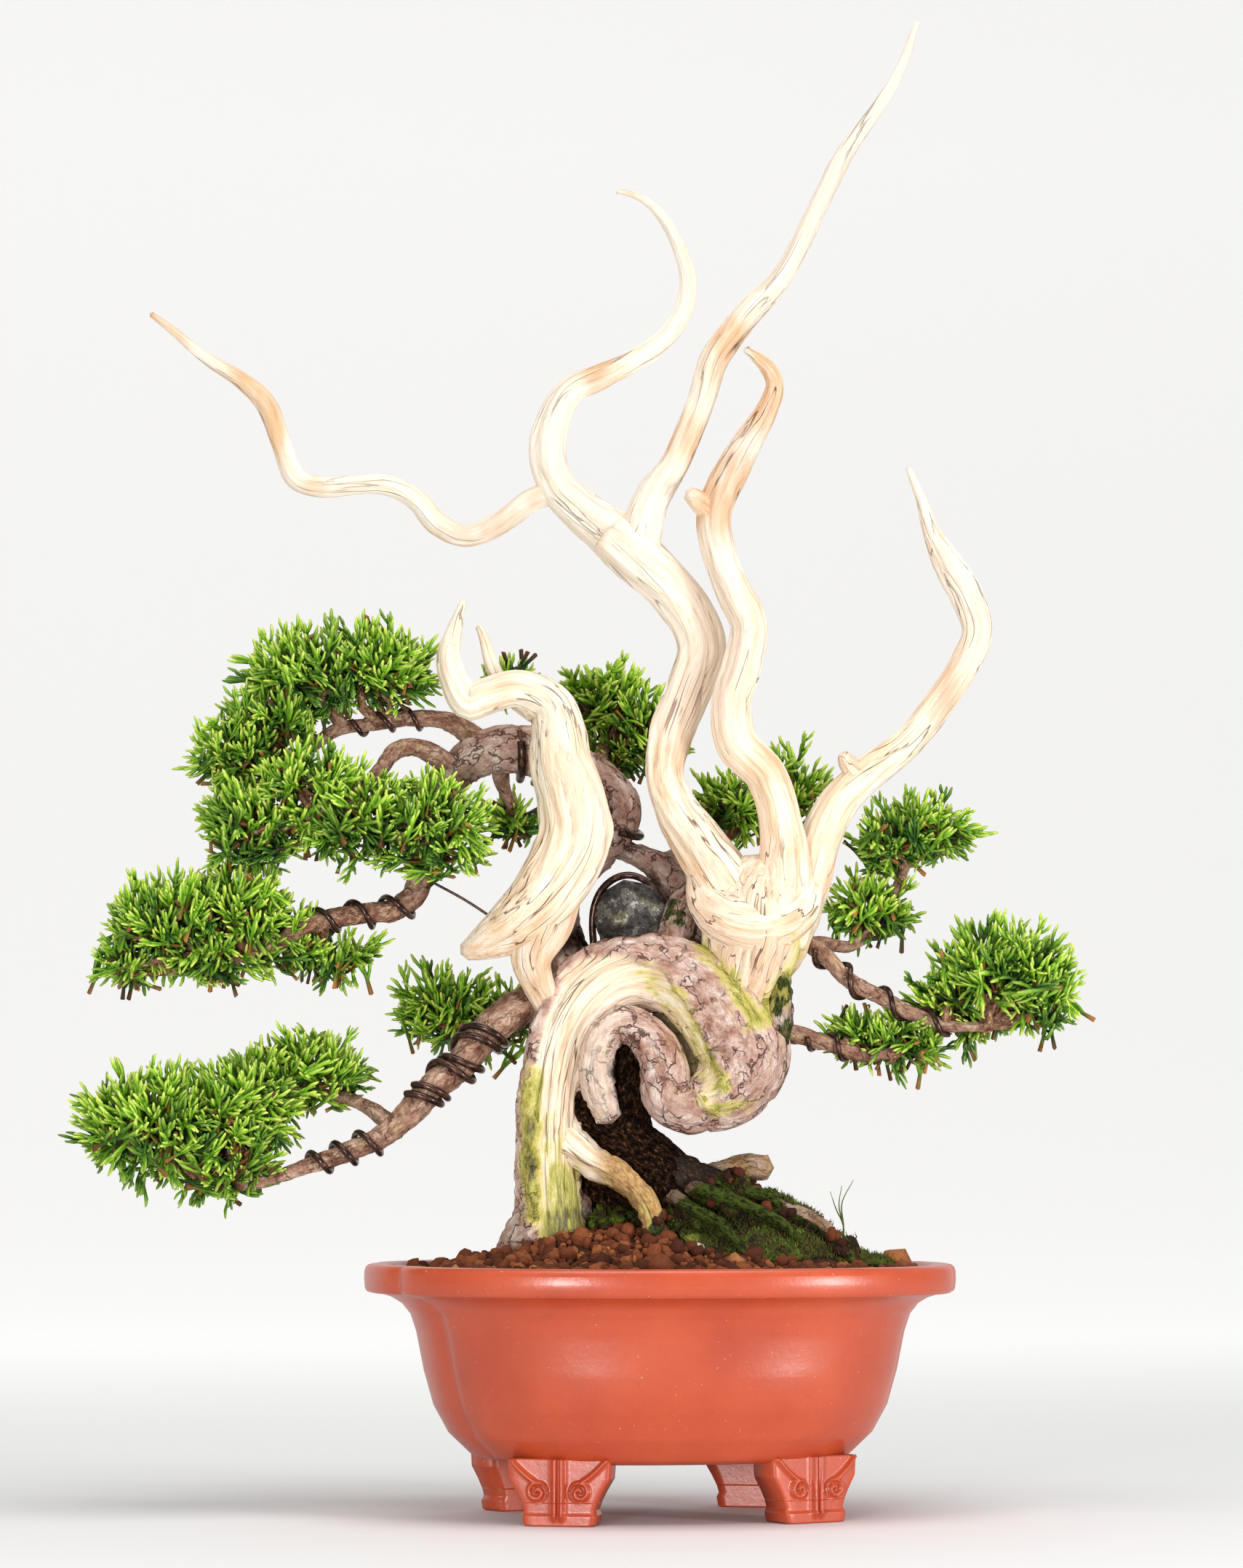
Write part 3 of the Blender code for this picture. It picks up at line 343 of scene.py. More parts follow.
# %% Relief of bare wood
def bare_relief(turn, far, radius, seed):
    """1 + broad ridges + fine fibres - cracks, all stretched along the limb and slowly twisting."""
    ridges = 0.15 * ring_noise(turn, far, 1.4, 50, seed, 0.012)
    folds = -0.15 * np.abs(ring_noise(turn, far, 2.0, 52, seed + 3, 0.016)) + 0.05
    fibres = 0.02 * ring_noise(turn, far, 7.0, 22, seed + 5, 0.016)
    line = np.abs(ring_noise(turn, far, 2.0, 60, seed + 9, 0.014))
    cracks = -0.13 * np.exp(-(line / 0.05) ** 2)
    knots = 0.11 * np.maximum(ring_noise(turn, far, 1.2, 10, seed + 12), 0) ** 2
    return 1.03 + ridges + folds + fibres + cracks + knots


print("relief round one ring:", bare_relief(circle(5), np.zeros(5), 1.0, 1).round(2))

# %% [markdown]
# Bark
#
# Old juniper bark is cracked into plates that lift at their edges, while young branches are only
# knobbly. The relief is slow lumps with a groove along every seam between two plates; the plates are
# the regions round randomly placed centres.


# %% Relief of bark
PLATE_SCALE = np.array([0.15, 0.15, 0.115])      # plates about 7 mm wide and 9 mm long
YOUNG_PLATES = PLATE_SCALE * 2.2


def seams(grain, scale=PLATE_SCALE):
    """1 in the cracks between bark plates, 0 on the plates; the plates are drawn out along the limb."""
    wander = 0.35 * np.stack([noise(grain * 0.4, 60 + i) for i in range(3)], axis=-1)
    return np.exp(-(plates(grain * scale + wander, 5) / 0.12) ** 2)


def bark_relief(turn, far, radius, seed):
    """1 + lumps that close round the branch - cracks between the plates."""
    lumps = 0.12 * ring_noise(turn, far, 1.4, 6.5, seed) + 0.07 * ring_noise(turn, far, 3.0, 3.6, seed + 2)
    return 1.03 + lumps - 0.10 * seams(unrolled(turn, far, radius, seed), YOUNG_PLATES)


def old_bark_relief(turn, far, radius, seed):
    """As bark, on a thick limb: slow swellings, cracks of an even depth in millimetres."""
    grain = unrolled(turn, far, radius, seed)
    swell = 0.06 * ring_noise(turn, far, 1.3, 26, seed) + 0.03 * ring_noise(turn, far, 3.5, 8, seed + 2)
    return 1.02 + swell + (0.35 * noise(grain * 0.5, 9) - 0.8 * seams(grain)) / np.maximum(radius, 4)


def no_relief(turn, far, radius, seed):
    return np.ones_like(turn)


print("relief of bark round one ring:", bark_relief(circle(5), np.zeros(5), 4.0, 1).round(2))

# %% [markdown]
# Materials from masks
#
# The live trunk wears several finishes at once: pinkish flaking bark, a band of bare cream wood,
# green-yellow algae, and a dark finish that is dark heartwood and also painted shade in the hollows. Cutting
# the trunk into pieces would leave hard seams, so it stays one skin and each point carries masks that say how
# much of each finish it has. The grain attribute unrolls the limb, so fibres and cracks run along it round
# every bend.


# %% Values and nodes
class Value:
    """An output of a node. It can be added, subtracted and multiplied, so formulas read as formulas."""

    def __init__(self, tree, socket):
        self.tree = tree
        self.socket = socket

    def __add__(self, other):
        return calculated(self.tree, "Math", "ADD", self, other)

    def __sub__(self, other):
        return calculated(self.tree, "Math", "SUBTRACT", self, other)

    def __rsub__(self, other):
        return calculated(self.tree, "Math", "SUBTRACT", other, self)

    def __mul__(self, other):
        return calculated(self.tree, "Math", "MULTIPLY", self, other)

    def __abs__(self):
        return calculated(self.tree, "Math", "ABSOLUTE", self)


def linear(colour):
    """sRGB values from 0 to 255 as the linear values that shaders use."""
    c = np.array(colour) / 255
    return tuple(np.where(c <= 0.04045, c / 12.92, ((c + 0.055) / 1.055) ** 2.4))


def feed(socket, value):
    """Link a value to the socket or set it; a colour of three numbers is sRGB."""
    if isinstance(value, Value):
        value.tree.links.new(value.socket, socket)
    elif socket.type == "RGBA" and len(value) == 3:
        socket.default_value = (*linear(value), 1)
    else:
        socket.default_value = value


def calculated(tree, kind, operation, *values):
    """A math node with its inputs in their order."""
    node = tree.nodes.new("ShaderNode" + kind)
    node.operation = operation
    for socket, value in zip(node.inputs, values):
        feed(socket, value)
    return Value(tree, node.outputs[0])


def add(tree, kind, output=0, **settings):
    """A node's output; a setting is an input's name, with _ for a space, or else a property."""
    node = tree.nodes.new("ShaderNode" + kind)
    for key, value in settings.items():
        label = key.replace("_", " ")
        if label in node.inputs:
            feed(node.inputs[label], value)
        else:
            setattr(node, key, value)
    return Value(tree, node.outputs[output])


print("half sRGB grey is linear", round(float(linear(3 * (128,))[0]), 3))

# %% [markdown]
# Short words for nodes
#
# The finishes below are told in a few words: an attribute, a noise drawn out along one axis, a ramp of
# colours, a band that goes from 0 to 1, and a blend of two finishes by a mask. A look is a function
# that says what feeds the shader, and a material is made from it.


# %% Node helpers
def attribute(tree, name, output="Fac"):
    return add(tree, "Attribute", output, attribute_name=name)


def own_place(tree):
    """The point's place in metres."""
    return add(tree, "TexCoord", "Object")


def noise_node(source, scale, detail=4.0, roughness=0.6):
    return add(source.tree, "TexNoise", "Fac", Vector=source, Scale=scale, Detail=detail,
               Roughness=roughness)


def stretched(source, scale, location=(0, 0, 0)):
    """The source coordinate times a scale for each axis: small numbers draw a pattern out."""
    return add(source.tree, "Mapping", Vector=source, Scale=scale, Location=location)


def drawn_noise(source, scale, detail, roughness=0.6, location=(0, 0, 0)):
    """Noise with a scale of its own along each axis."""
    return noise_node(stretched(source, scale, location), 1.0, detail, roughness)


def ramp(source, *stops):
    """Colour by value; stops are (position, sRGB colour)."""
    node = source.tree.nodes.new("ShaderNodeValToRGB")
    elements = node.color_ramp.elements
    while len(elements) < len(stops):
        elements.new(0.5)
    for element, (position, colour) in zip(elements, stops):
        element.position = position
        element.color = (*linear(colour), 1)
    feed(node.inputs["Fac"], source)
    return Value(source.tree, node.outputs["Color"])


def band(source, low, high):
    """0 below low, 1 above high, smooth between."""
    return add(source.tree, "MapRange", "Result", interpolation_type="SMOOTHSTEP", Value=source,
               From_Min=low, From_Max=high)


def blend(mask, first, second, mode="MIX", kind="RGBA"):
    """first where the mask is 0, second where it is 1; each is a value, a number or an sRGB colour."""
    tree = next(part.tree for part in (mask, first, second) if isinstance(part, Value))
    node = tree.nodes.new("ShaderNodeMix")
    node.data_type = kind
    node.blend_type = mode
    sort = {"RGBA": "RGBA", "FLOAT": "VALUE"}[kind]
    ends = [socket for socket in node.inputs if socket.name in "AB" and socket.type == sort]
    for socket, value in zip([node.inputs[0], *ends], (mask, first, second)):
        feed(socket, value)
    return Value(tree, next(socket for socket in node.outputs if socket.type == sort))


def new_material(name, look):
    """A material; look(tree) gives what feeds the shader, and bump = (height, distance, strength)."""
    material = bpy.data.materials.new(name)
    material.use_nodes = True
    tree = material.node_tree
    feeds = look(tree)
    if "bump" in feeds:
        height, distance, strength = feeds.pop("bump")
        feeds["Normal"] = add(tree, "Bump", "Normal", Height=height, Distance=distance, Strength=strength)
    for key, value in feeds.items():
        feed(tree.nodes["Principled BSDF"].inputs[key.replace("_", " ")], value)
    return material


print("node helpers ready")

# %% [markdown]
# A shared grain
#
# Bare wood shows on the dead spires and on the trunk's bare band, so its colour is a node group:
# it reads the grain coordinate and gives a colour, with thin dark cracks, and a height.


# %% Grain group
def grain_group():
    """Cream wood streaked along the limb, with thin brown cracks; puts out colour and height."""
    group = bpy.data.node_groups.new("bleached grain", "ShaderNodeTree")
    for name, way, kind in (("Grain", "INPUT", "Vector"), ("Colour", "OUTPUT", "Color"),
                            ("Height", "OUTPUT", "Float")):
        group.interface.new_socket(name, in_out=way, socket_type="NodeSocket" + kind)
    grain = Value(group, group.nodes.new("NodeGroupInput").outputs["Grain"])
    end = group.nodes.new("NodeGroupOutput")
    streak = drawn_noise(grain, (0.40, 0.40, 0.022), 5)
    cloud = drawn_noise(grain, (0.06, 0.06, 0.018), 3, 0.5)
    fibre = drawn_noise(grain, (1.9, 1.9, 0.09), 3)
    crack = drawn_noise(grain, (0.26, 0.26, 0.011), 2, 0.45, (9, 4, 2))
    hair = drawn_noise(grain, (0.62, 0.62, 0.016), 2, 0.4, (2, 7, 5))
    broken = band(drawn_noise(grain, (0.09, 0.09, 0.02), 2), 0.47, 0.56)
    gap = (1.0 - band(abs(crack - 0.5), 0.003, 0.013)) * broken
    body = ramp(streak, (0.28, (204, 164, 126)), (0.41, (236, 209, 176)), (0.54, (248, 232, 209)),
                (0.70, (253, 247, 236)))
    body = blend(band(cloud, 0.48, 0.66) * 0.6, body, (238, 204, 178))
    body = blend((1.0 - band(abs(hair - 0.46), 0.002, 0.014)) * 0.3, body, (168, 124, 92))
    feed(end.inputs["Colour"], blend(gap * 0.85, body, (118, 76, 50)))
    feed(end.inputs["Height"], streak * 0.6 + fibre * 0.5 - gap * 0.8)
    return group


GRAIN = grain_group()
print("grain group has", len(GRAIN.nodes), "nodes")

# %% [markdown]
# Juniper wood
#
# One look serves all wood. Bark, young bark, ochre rot, algae, the dark finish (dark heartwood and painted
# shade) and moss are laid over the bare wood in turn, each where its mask is high, and noise frays the edges
# of algae and moss.

# %% Wood
MASKS = ("pale", "warm", "crack", "young", "bark", "ochre", "algae", "damp", "moss")


def wood_look(tree):
    """Bare wood, bark, algae and dark heartwood with painted shade in the hollows, laid over each other by
    the skin's masks.
    """
    mask = {name: attribute(tree, name) for name in MASKS}
    grain = attribute(tree, "grain", "Vector")
    colour = add(tree, "Group", "Colour", node_tree=GRAIN, Grain=grain)
    height = Value(tree, colour.socket.node.outputs["Height"])
    colour = blend(mask["pale"] * 0.5, colour, (246, 238, 226))
    colour = blend(mask["warm"] * 0.75, colour, (228, 196, 166), "MULTIPLY")
    patch = drawn_noise(grain, (0.20, 0.20, 0.13), 5, 0.7)
    flake = drawn_noise(grain, (0.8, 0.8, 0.5), 4, 0.7)
    mottle = drawn_noise(grain, (0.42, 0.42, 0.12), 6, 0.75)
    torn = band(drawn_noise(grain, (0.11, 0.11, 0.11), 2, location=(3, 1, 7)), 0.40, 0.56)
    shake = add(tree, "TexNoise", "Color", Vector=grain, Scale=0.3, Detail=3.0)
    shaken = calculated(tree, "VectorMath", "MULTIPLY_ADD", shake, (7, 7, 7), grain)
    cells = add(tree, "TexVoronoi", "Distance", feature="DISTANCE_TO_EDGE", Scale=1.0,
                Vector=stretched(shaken, (0.18, 0.18, 0.105)))
    line = (1.0 - band(cells, 0.006, 0.06)) * torn
    bark = ramp(patch, (0.33, (150, 102, 84)), (0.43, (184, 144, 128)), (0.54, (208, 178, 164)),
                (0.66, (234, 218, 206)))
    bark = blend(band(flake, 0.55, 0.66) * 0.5, bark, (160, 106, 86))
    bark = blend(band(mask["crack"], 0.4, 1.0) * 0.35, bark, (150, 104, 88))
    bark = blend(line * 0.9, bark, (92, 50, 38))
    young = ramp(blend(0.5, flake, patch), (0.36, (52, 28, 22)), (0.44, (104, 60, 42)),
                 (0.53, (156, 112, 84)), (0.63, (212, 182, 150)))
    body = blend(mask["bark"], colour, blend(mask["young"], bark, young))
    body = blend(mask["ochre"], body, ramp(flake, (0.36, (128, 84, 36)), (0.62, (200, 156, 84))))
    spread = mask["algae"] + (mottle - 0.5) * 1.9
    algae = ramp(spread, (0.1, (240, 222, 160)), (0.42, (214, 204, 104)), (0.7, (166, 164, 48)),
                 (0.92, (92, 96, 26)), (1.0, (52, 50, 22)))
    body = blend(band(spread, 0.08, 0.6) * 0.85, body, algae)
    # the dark finish, near-black to brown: dark heartwood, and painted shade where the mask sits in the
    # hollows
    damp = ramp(flake, (0.40, (8, 5, 4)), (0.50, (28, 17, 11)), (0.60, (58, 38, 25)),
                (0.74, (122, 88, 62)))
    body = blend(mask["damp"], body, damp)
    growth = mask["moss"] + (mottle - 0.5) * 1.6
    moss = ramp(flake, (0.4, (24, 26, 10)), (0.58, (66, 80, 24)))
    relief = blend(mask["bark"], height, patch * 1.2 + flake - line, kind="FLOAT")
    return dict(Base_Color=blend(band(growth, 0.35, 0.6), body, moss), Roughness=0.78,
                Specular_IOR_Level=0.3 - mask["damp"] * 0.28, bump=(relief, 0.0014, 0.9))


LIVE = new_material("live_trunk", wood_look)
BLEACHED = new_material("bleached_wood", wood_look)
print("wood materials ready")

# %% [markdown]
# The coil
#
# The trunk climbs on the left, arches over and dives under itself on the right, where the live bark
# runs as a wide ribbon and curls up again into an inner ring. Bare wood shows in a band between the
# two. The band is drawn as a line of points with half widths in the viewer's plane: a point of the
# skin that faces the viewer and lies inside the band is bare, and bark swells up along its edges.

# %% Trunk lines and the bare band
COIL = [(-38, 2, 70, 13.5), (-38, 2, 84, 12.5), (-38, 1, 100, 11.6), (-39, 0, 121, 10.8),
        (-38, 0, 146, 10.6), (-33, 1, 168, 11.6), (-22, 2, 182, 12.6), (-8, 2, 187, 13.2),
        (7, 1, 183, 14.6), (21, 0, 171, 17.4), (27, -1, 158, 17.4), (23, -3, 147, 14.2), (12, -6, 140, 9.4)]
RING = [(20, -4, 145, 9.0), (10, -6, 140, 9.6), (2, -8, 144, 9.0), (0, -8, 156, 8.2), (-7, -8, 166, 6.8),
        (-16, -8, 168, 6.4), (-22, -8, 159, 6.2), (-22, -7, 147, 6.0), (-18, -5, 136, 4.6)]
BASE_ROOTS = {
    "heart": [(-37, 3, 150, 8), (-25, 6, 138, 9), (-12, 6, 127, 10.5), (0, 6, 115, 12.5), (8, 6, 100, 14),
              (12, 6, 80, 13)],
    "hollow": [(-33, 8, 132, 8), (-22, 11, 116, 9), (-15, 12, 100, 10.5), (-12, 11, 80, 11)],
    "wedge": [(-40, 2, 142, 6.0), (-34, 0, 130, 7.0), (-24.5, -4, 121.5, 6.0), (-13, -7, 115, 4.8),
              (-4, -9, 104, 4.2), (0, -10, 82, 4)],
    "flare": [(-6, 4, 122, 7), (8, 2, 114, 9.0), (22, 0, 108, 9.0), (36, -3, 102, 7.5), (50, -6, 95, 5),
              (60, -8, 86, 3)],
    "stub": [(8, 6, 110, 6.0), (20, 7, 116, 5.4), (29, 7, 119, 4.6), (37, 6, 119, 4.4)],
    "outer": [(24, -2, 104, 4.0), (36, -8, 104, 3.4), (48, -11, 103, 3.0), (57, -13, 98, 2.7),
              (64, -14, 88, 2.4)],
    "back": [(-32, 6, 108, 8), (-30, 16, 98, 7), (-32, 28, 88, 5), (-35, 38, 78, 3.5)],
    "left": [(-42, 0, 104, 8), (-49, -3, 94, 6.5), (-55, -6, 84, 4.5), (-60, -8, 76, 3.5)],
    "inner": [(-14, 4, 170, 6), (-13, 4, 155, 7.5), (-12, 5, 140, 8.5), (-12, 6, 126, 9)],
    "web": [(0, 2, 172, 6), (7, 2, 161, 7), (11, 1, 150, 7)],
    "bridge": [(22, 8, 190, 8), (16, 13, 203, 8.0), (9, 17, 214, 7.4), (0, 19, 223, 5.8), (-8, 20, 228, 4.2),
               (-18, 20, 231, 3.6)],
}
BARE_BAND = [(-34.9, 96, 7.6), (-34.4, 104, 8.4), (-32.3, 121, 9.4), (-34.5, 134, 8.8), (-36.2, 147.6, 7.9),
             (-34, 161, 7.9), (-30.5, 171.3, 8.6), (-24.4, 181.8, 9.2), (-15.6, 183.6, 8.6), (-4.2, 180, 7.0),
             (3.7, 169.5, 6.0), (9.8, 159, 5.4), (14.2, 149.4, 4.8), (16.5, 142.5, 2.0)]


def near_line(points, rows):
    """Distance in the viewer's plane to a line of (x, z, half width), less the half width there."""
    rows = np.array(rows, float)
    share = np.linspace(0, len(rows) - 1, len(rows) * 10)
    line = np.column_stack([np.interp(share, np.arange(len(rows)), column) for column in rows.T])
    best = np.full(len(points), 1e9)
    for x, z, half in line:
        best = np.minimum(best, np.hypot(points[:, 0] - x, points[:, 2] - z) - half)
    return best


def near_spots(points, spots):
    """1 at the middle of each (x, y, z, reach) spot, falling smoothly to 0 at its reach."""
    total = np.zeros(len(points))
    for x, y, z, reach in spots:
        away = np.linalg.norm(points - (x, y, z), axis=1) / reach
        total = np.maximum(total, 1 - smooth_step(0.35, 1.0, away))
    return total


print("the coil has", len(COIL), "rows, and", len(BASE_ROOTS), "roots stand under it")

# %% [markdown]
# Masks for the trunk
#
# Algae grows where it stays damp: low on the front of the column, along the groove beside the ribbon
# and in the notch under the neck, where its dark end is also painted shade. The heart of the base and the
# hollow
# in the ring are dark: dark heartwood, and painted shade in the hollows and creases inside the coil.

# %% Masks and the coil's skin
ALGAE_LINES = [
    (0.36, [(-6, 187, 2.5), (2, 178, 3.4), (9, 166, 4.2), (15, 152, 4.6), (19, 145, 3.8)]),
    (0.85, [(4, 180, 0.2), (12, 167, 0.3), (19, 153, 0.4), (21, 146, 1.0)]),
    (0.85, [(-33, 88, 9), (-32, 98, 8)]),
    (0.62, [(-32, 108, 7), (-34, 116, 5)]),
    (0.35, [(-36, 124, 4), (-38, 134, 3)]),
    (0.8, [(-44, 152, 1.4), (-45.5, 138, 2.2), (-45, 120, 2.6), (-44, 104, 2.4)]),
    # the notch under the neck: algae, whose dark end also paints the shade in the notch
    (0.72, [(13, 195, 0.8), (20, 188, 1.4), (28, 177, 2.4), (33, 170, 3.0), (39, 177, 2.6), (44, 186, 2),
            (47, 196, 1)]),
    (0.7, [(14, 142, 1), (22, 139, 1.2), (30, 142, 0.8)]),
    (0.5, [(-6, 106, 1), (-3, 98, 2)])]
# painted shade: dark spots in the ring's hole, under the ring, under the arch by the base, behind the sweep's
# foot and in the crease where the coil meets the ring
SHADE_SPOTS = [(-15, -8, 152, 6), (-13, -2, 142, 10), (-11, -2, 132, 10), (-14, 0, 158, 8), (-18, -2, 100, 15),
              (-20, -4, 92, 12), (-14, -2, 110, 9), (-22, 0, 112, 6), (-31, 8, 196, 12), (10, -2, 137, 6)]
MOSS_EDGE = [(-12, 92), (2, 105), (14, 113), (23, 119), (38, 111), (44, 105), (60, 96), (75, 90)]
COIL_STEP, COIL_SIDES = 1.1, 130


def trunk_masks(points, bark, damp=0.0, ochre=0.0, young=0.0):
    """How much of each finish every point wears."""
    even = np.ones(len(points))
    ragged = 1.6 * layered(points * 0.16, 5, 3)
    algae = np.zeros(len(points))
    for strength, rows in ALGAE_LINES:
        away = near_line(points, rows) + ragged
        algae = np.maximum(algae, strength * (1 - smooth_step(-3.0, 4.5, away)))
    algae *= smooth_step(3, -3, points[:, 1])
    # dark finish: painted shade at the spots, each limb's own dark heartwood, and darker just above the soil
    darkened = np.maximum(near_spots(points, SHADE_SPOTS), damp)
    low = 1 - smooth_step(86, 95, points[:, 2] + 2 * ragged)
    under = np.interp(points[:, 0], *zip(*MOSS_EDGE)) - points[:, 2] + ragged
    moss = smooth_step(-3, 3, under) * smooth_step(-14, -4, points[:, 0]) * (1 - young)
    return {"bark": bark * even, "algae": algae * (1 - young), "damp": np.maximum(darkened, 0.7 * low),
            "ochre": ochre * even, "young": young * even, "pale": 0 * even, "warm": 0 * even,
            "crack": 0 * even, "moss": moss}


def coil_skin():
    """The coil with its bare band sunk between swollen edges of bark."""
    skin = limb(COIL, COIL_STEP, COIL_SIDES, no_relief, 1)
    line = smooth_line(COIL, COIL_STEP)[0][:, :3]
    middle = np.vstack([np.repeat(line, COIL_SIDES, axis=0), line[[0, -1]]])
    points, grain = skin["points"], skin["grain"] - SEED_SHIFT
    spoke = unit(points - middle)
    wavy = -near_line(points, BARE_BAND) + 0.9 * noise(points * 0.16, 4) + 0.3 * noise(points * 0.6, 8)
    front = smooth_step(0.0, 0.25, -spoke[:, 1])
    bare = smooth_step(-0.5, 0.5, wavy) * front
    edge = np.exp(-((wavy + 1.8) / 1.8) ** 2) * front
    long_noise = lambda scale, stretch, seed: noise(grain * (scale, scale, stretch), seed)
    wood = 0.55 * long_noise(0.16, 0.015, 2) - 0.7 * np.abs(long_noise(0.3, 0.02, 3))
    wood += 0.25 * long_noise(0.9, 0.05, 6) - 1.1 * np.exp(-(long_noise(0.34, 0.024, 11) / 0.05) ** 2)
    seam = seams(grain)
    rough = 0.9 * long_noise(0.14, 0.07, 15) + 0.5 * long_noise(0.5, 0.3, 16) - 1.1 * seam
    lift = bare * (wood - 1.1) + (1 - bare) * (rough + 0.7) + 1.5 * edge
    skin["points"] = points + spoke * lift[:, None]
    skin.update(trunk_masks(skin["points"], 1.0))
    skin["bark"] = 1 - bare
    lip = np.exp(-((wavy + 0.2) / 0.45) ** 2) * front
    skin["crack"] = np.maximum(seam, 0.9 * lip) * (1 - 0.5 * bare)
    return skin


coil = coil_skin()
print("coil points", len(coil["points"]))

# %% [markdown]
# Roots, ring, rear trunk and branches
#
# Everything else that is alive is a plain limb with bark, so a small table says for each one how much
# bark, dark finish (dark heartwood and painted shade), ochre rot or young reddish twig bark it wears. The
# live wood replaces one imported node.

# %% Rear trunk and branches
REAR_TRUNK = [(-27, 6, 174, 9.5), (-32, 9, 188, 9.0), (-36, 13, 200, 8.4), (-36, 16, 212, 7.6),
              (-31, 19, 222, 7.0), (-22, 20, 230, 7.2), (-16, 20, 238, 7.4), (-15, 20, 246, 7.6),
              (-21, 19, 253, 7.6), (-32, 17, 259, 8.2), (-45, 14, 264, 8.5),
              (-59, 12, 264, 8.0), (-70, 11, 258, 7.0), (-78, 11, 246, 5.8), (-83, 8, 230, 5.0),
              (-85, 4, 215, 4.4), (-93, 1, 208, 4.0), (-106, -3, 206, 3.6), (-120, -7, 203, 3.2),
              (-133, -9, 196, 2.7), (-148, -10, 190, 2.0)]
NECK_RIM = [(36, -3, 160, 7.0), (40.5, -5, 170, 5.0), (41.5, -5.5, 180, 3.6), (41.5, -5, 189, 2.6),
            (40.5, -5, 195, 1.6)]
SADDLE = [(2, 3, 190, 5.5), (4, 2.5, 199, 6.6), (7, 3.5, 208, 6.0), (11, 6, 215, 4.6)]
ROOTLETS = [[(8, 0, 110, 2.6), (12, -9, 112, 2.6), (20, -14, 109.5, 2.6), (31, -17, 105.5, 2.3),
             (42, -18, 99.5, 1.9), (50, -18, 91, 1.2)],
            [(2, 0, 108, 2.8), (5, -8, 109, 2.8), (11, -14, 104.5, 2.6), (20, -20, 100, 2.2),
             (27, -25, 92, 1.5), (31, -28, 85, 1.0)],
            [(24, -1, 108, 2.4), (28, -7, 111, 2.4), (36, -10, 109.5, 2.2), (45, -10, 103.5, 1.8),
             (51, -8, 96, 1.3)]]
BRANCHES = {
    "lowest": [(-35, 6, 178, 7), (-45, 4, 176, 6.4), (-55, -2, 170, 6.1), (-64, -7, 161, 5.7),
               (-70, -10, 153, 5.3), (-78, -13, 147, 5.0), (-86, -16, 138, 4.5), (-95, -18, 130, 4.0),
               (-108, -21, 124, 3.4), (-122, -23, 119, 2.7), (-136, -24, 114, 2.1), (-149, -24, 112, 1.6)],
    "lowest_rear": [(-92, -16, 133, 3.2), (-100, -8, 139, 2.6), (-110, 1, 143, 2.2), (-122, 5, 145, 1.8)],
    "lowest_up": [(-52, 0, 172, 4.0), (-58, 12, 170, 2.9), (-64, 22, 168, 2.4), (-70, 29, 168, 2.0)],
    "upper_left": [(-62, 12, 266, 4.6), (-74, 11, 274, 3.4), (-88, 8, 275, 2.7), (-100, 5, 273, 2.5),
                   (-112, 4, 271, 2.4), (-120, 2, 266, 2.2), (-129, 1, 261, 2.0), (-140, 1, 259, 1.6)],
    "upper_up": [(-111, 4, 272, 2.6), (-116, 5, 279, 2.2), (-120, 6, 286, 1.8)],
    "middle_left": [(-72, 11, 257, 4.6), (-83, 4, 264, 3.4), (-92, -2, 263, 3.0), (-98, -8, 255, 2.6),
                    (-107, -13, 246, 2.3), (-120, -15, 240, 2.0), (-134, -14, 234, 1.6)],
    "middle_front": [(-83, 8, 232, 3.4), (-85, -4, 230, 2.8), (-87, -14, 230, 2.4), (-90, -22, 232, 2.0)],
    "back_left": [(-20, 20, 252, 4.5), (-22, 29, 260, 3.2), (-21, 38, 266, 2.6), (-19, 44, 270, 2.2)],
    "back_spray": [(-34, 18, 262, 3.8), (-41, 25, 272, 2.4), (-48, 30, 282, 1.9), (-52, 32, 288, 1.7)],
    "back_hidden": [(-57, 13, 262, 4.0), (-56, 24, 254, 2.6), (-53, 32, 246, 2.0)],
    "back_right": [(-2, 19, 223, 4.5), (4, 28, 227, 3.4), (14, 36, 232, 2.9), (26, 41, 238, 2.4),
                   (34, 42, 244, 2.0)],
    "right_main": [(26, 4, 186, 5.0), (38, 6, 193, 4.2), (48, 6, 198, 3.4), (57, 5, 192, 3.0),
                   (65, 4, 184, 2.8), (76, 3, 178, 2.6), (88, 2, 172, 2.4), (100, 2, 168, 2.1),
                   (114, 2, 168, 1.7)],
    "right_up": [(46, 6, 197, 2.8), (56, 10, 197, 2.4), (66, 14, 196, 2.1), (74, 17, 202, 1.8)],
    "right_high": [(66, 14, 196, 1.9), (78, 19, 207, 1.9), (84, 22, 220, 1.8), (88, 22, 231, 1.6)],
    "right_low": [(36, 4, 166, 4.4), (47, 5, 165, 3.2), (58, 6, 162, 2.7), (70, 6, 158, 2.3),
                  (82, 6, 159, 1.9)],
}
# the dark finish is dark bark on the flare and outer roots, and painted shade on the roots seen back inside
# the coil: heart, hollow, inner and web
ROOT_FINISH = {"heart": dict(bark=0.2, damp=1.0), "hollow": dict(bark=0.4, damp=1.0),
               "wedge": dict(bark=0.0), "flare": dict(bark=0.5, damp=0.97),
               "stub": dict(bark=0.75, damp=0.25), "outer": dict(bark=0.85, damp=0.45),
               "back": dict(bark=1.0), "left": dict(bark=0.9, damp=0.3),
               "inner": dict(bark=0.2, damp=1.0), "web": dict(bark=0.7, damp=0.8),
               "bridge": dict(bark=1.0, damp=0.35)}


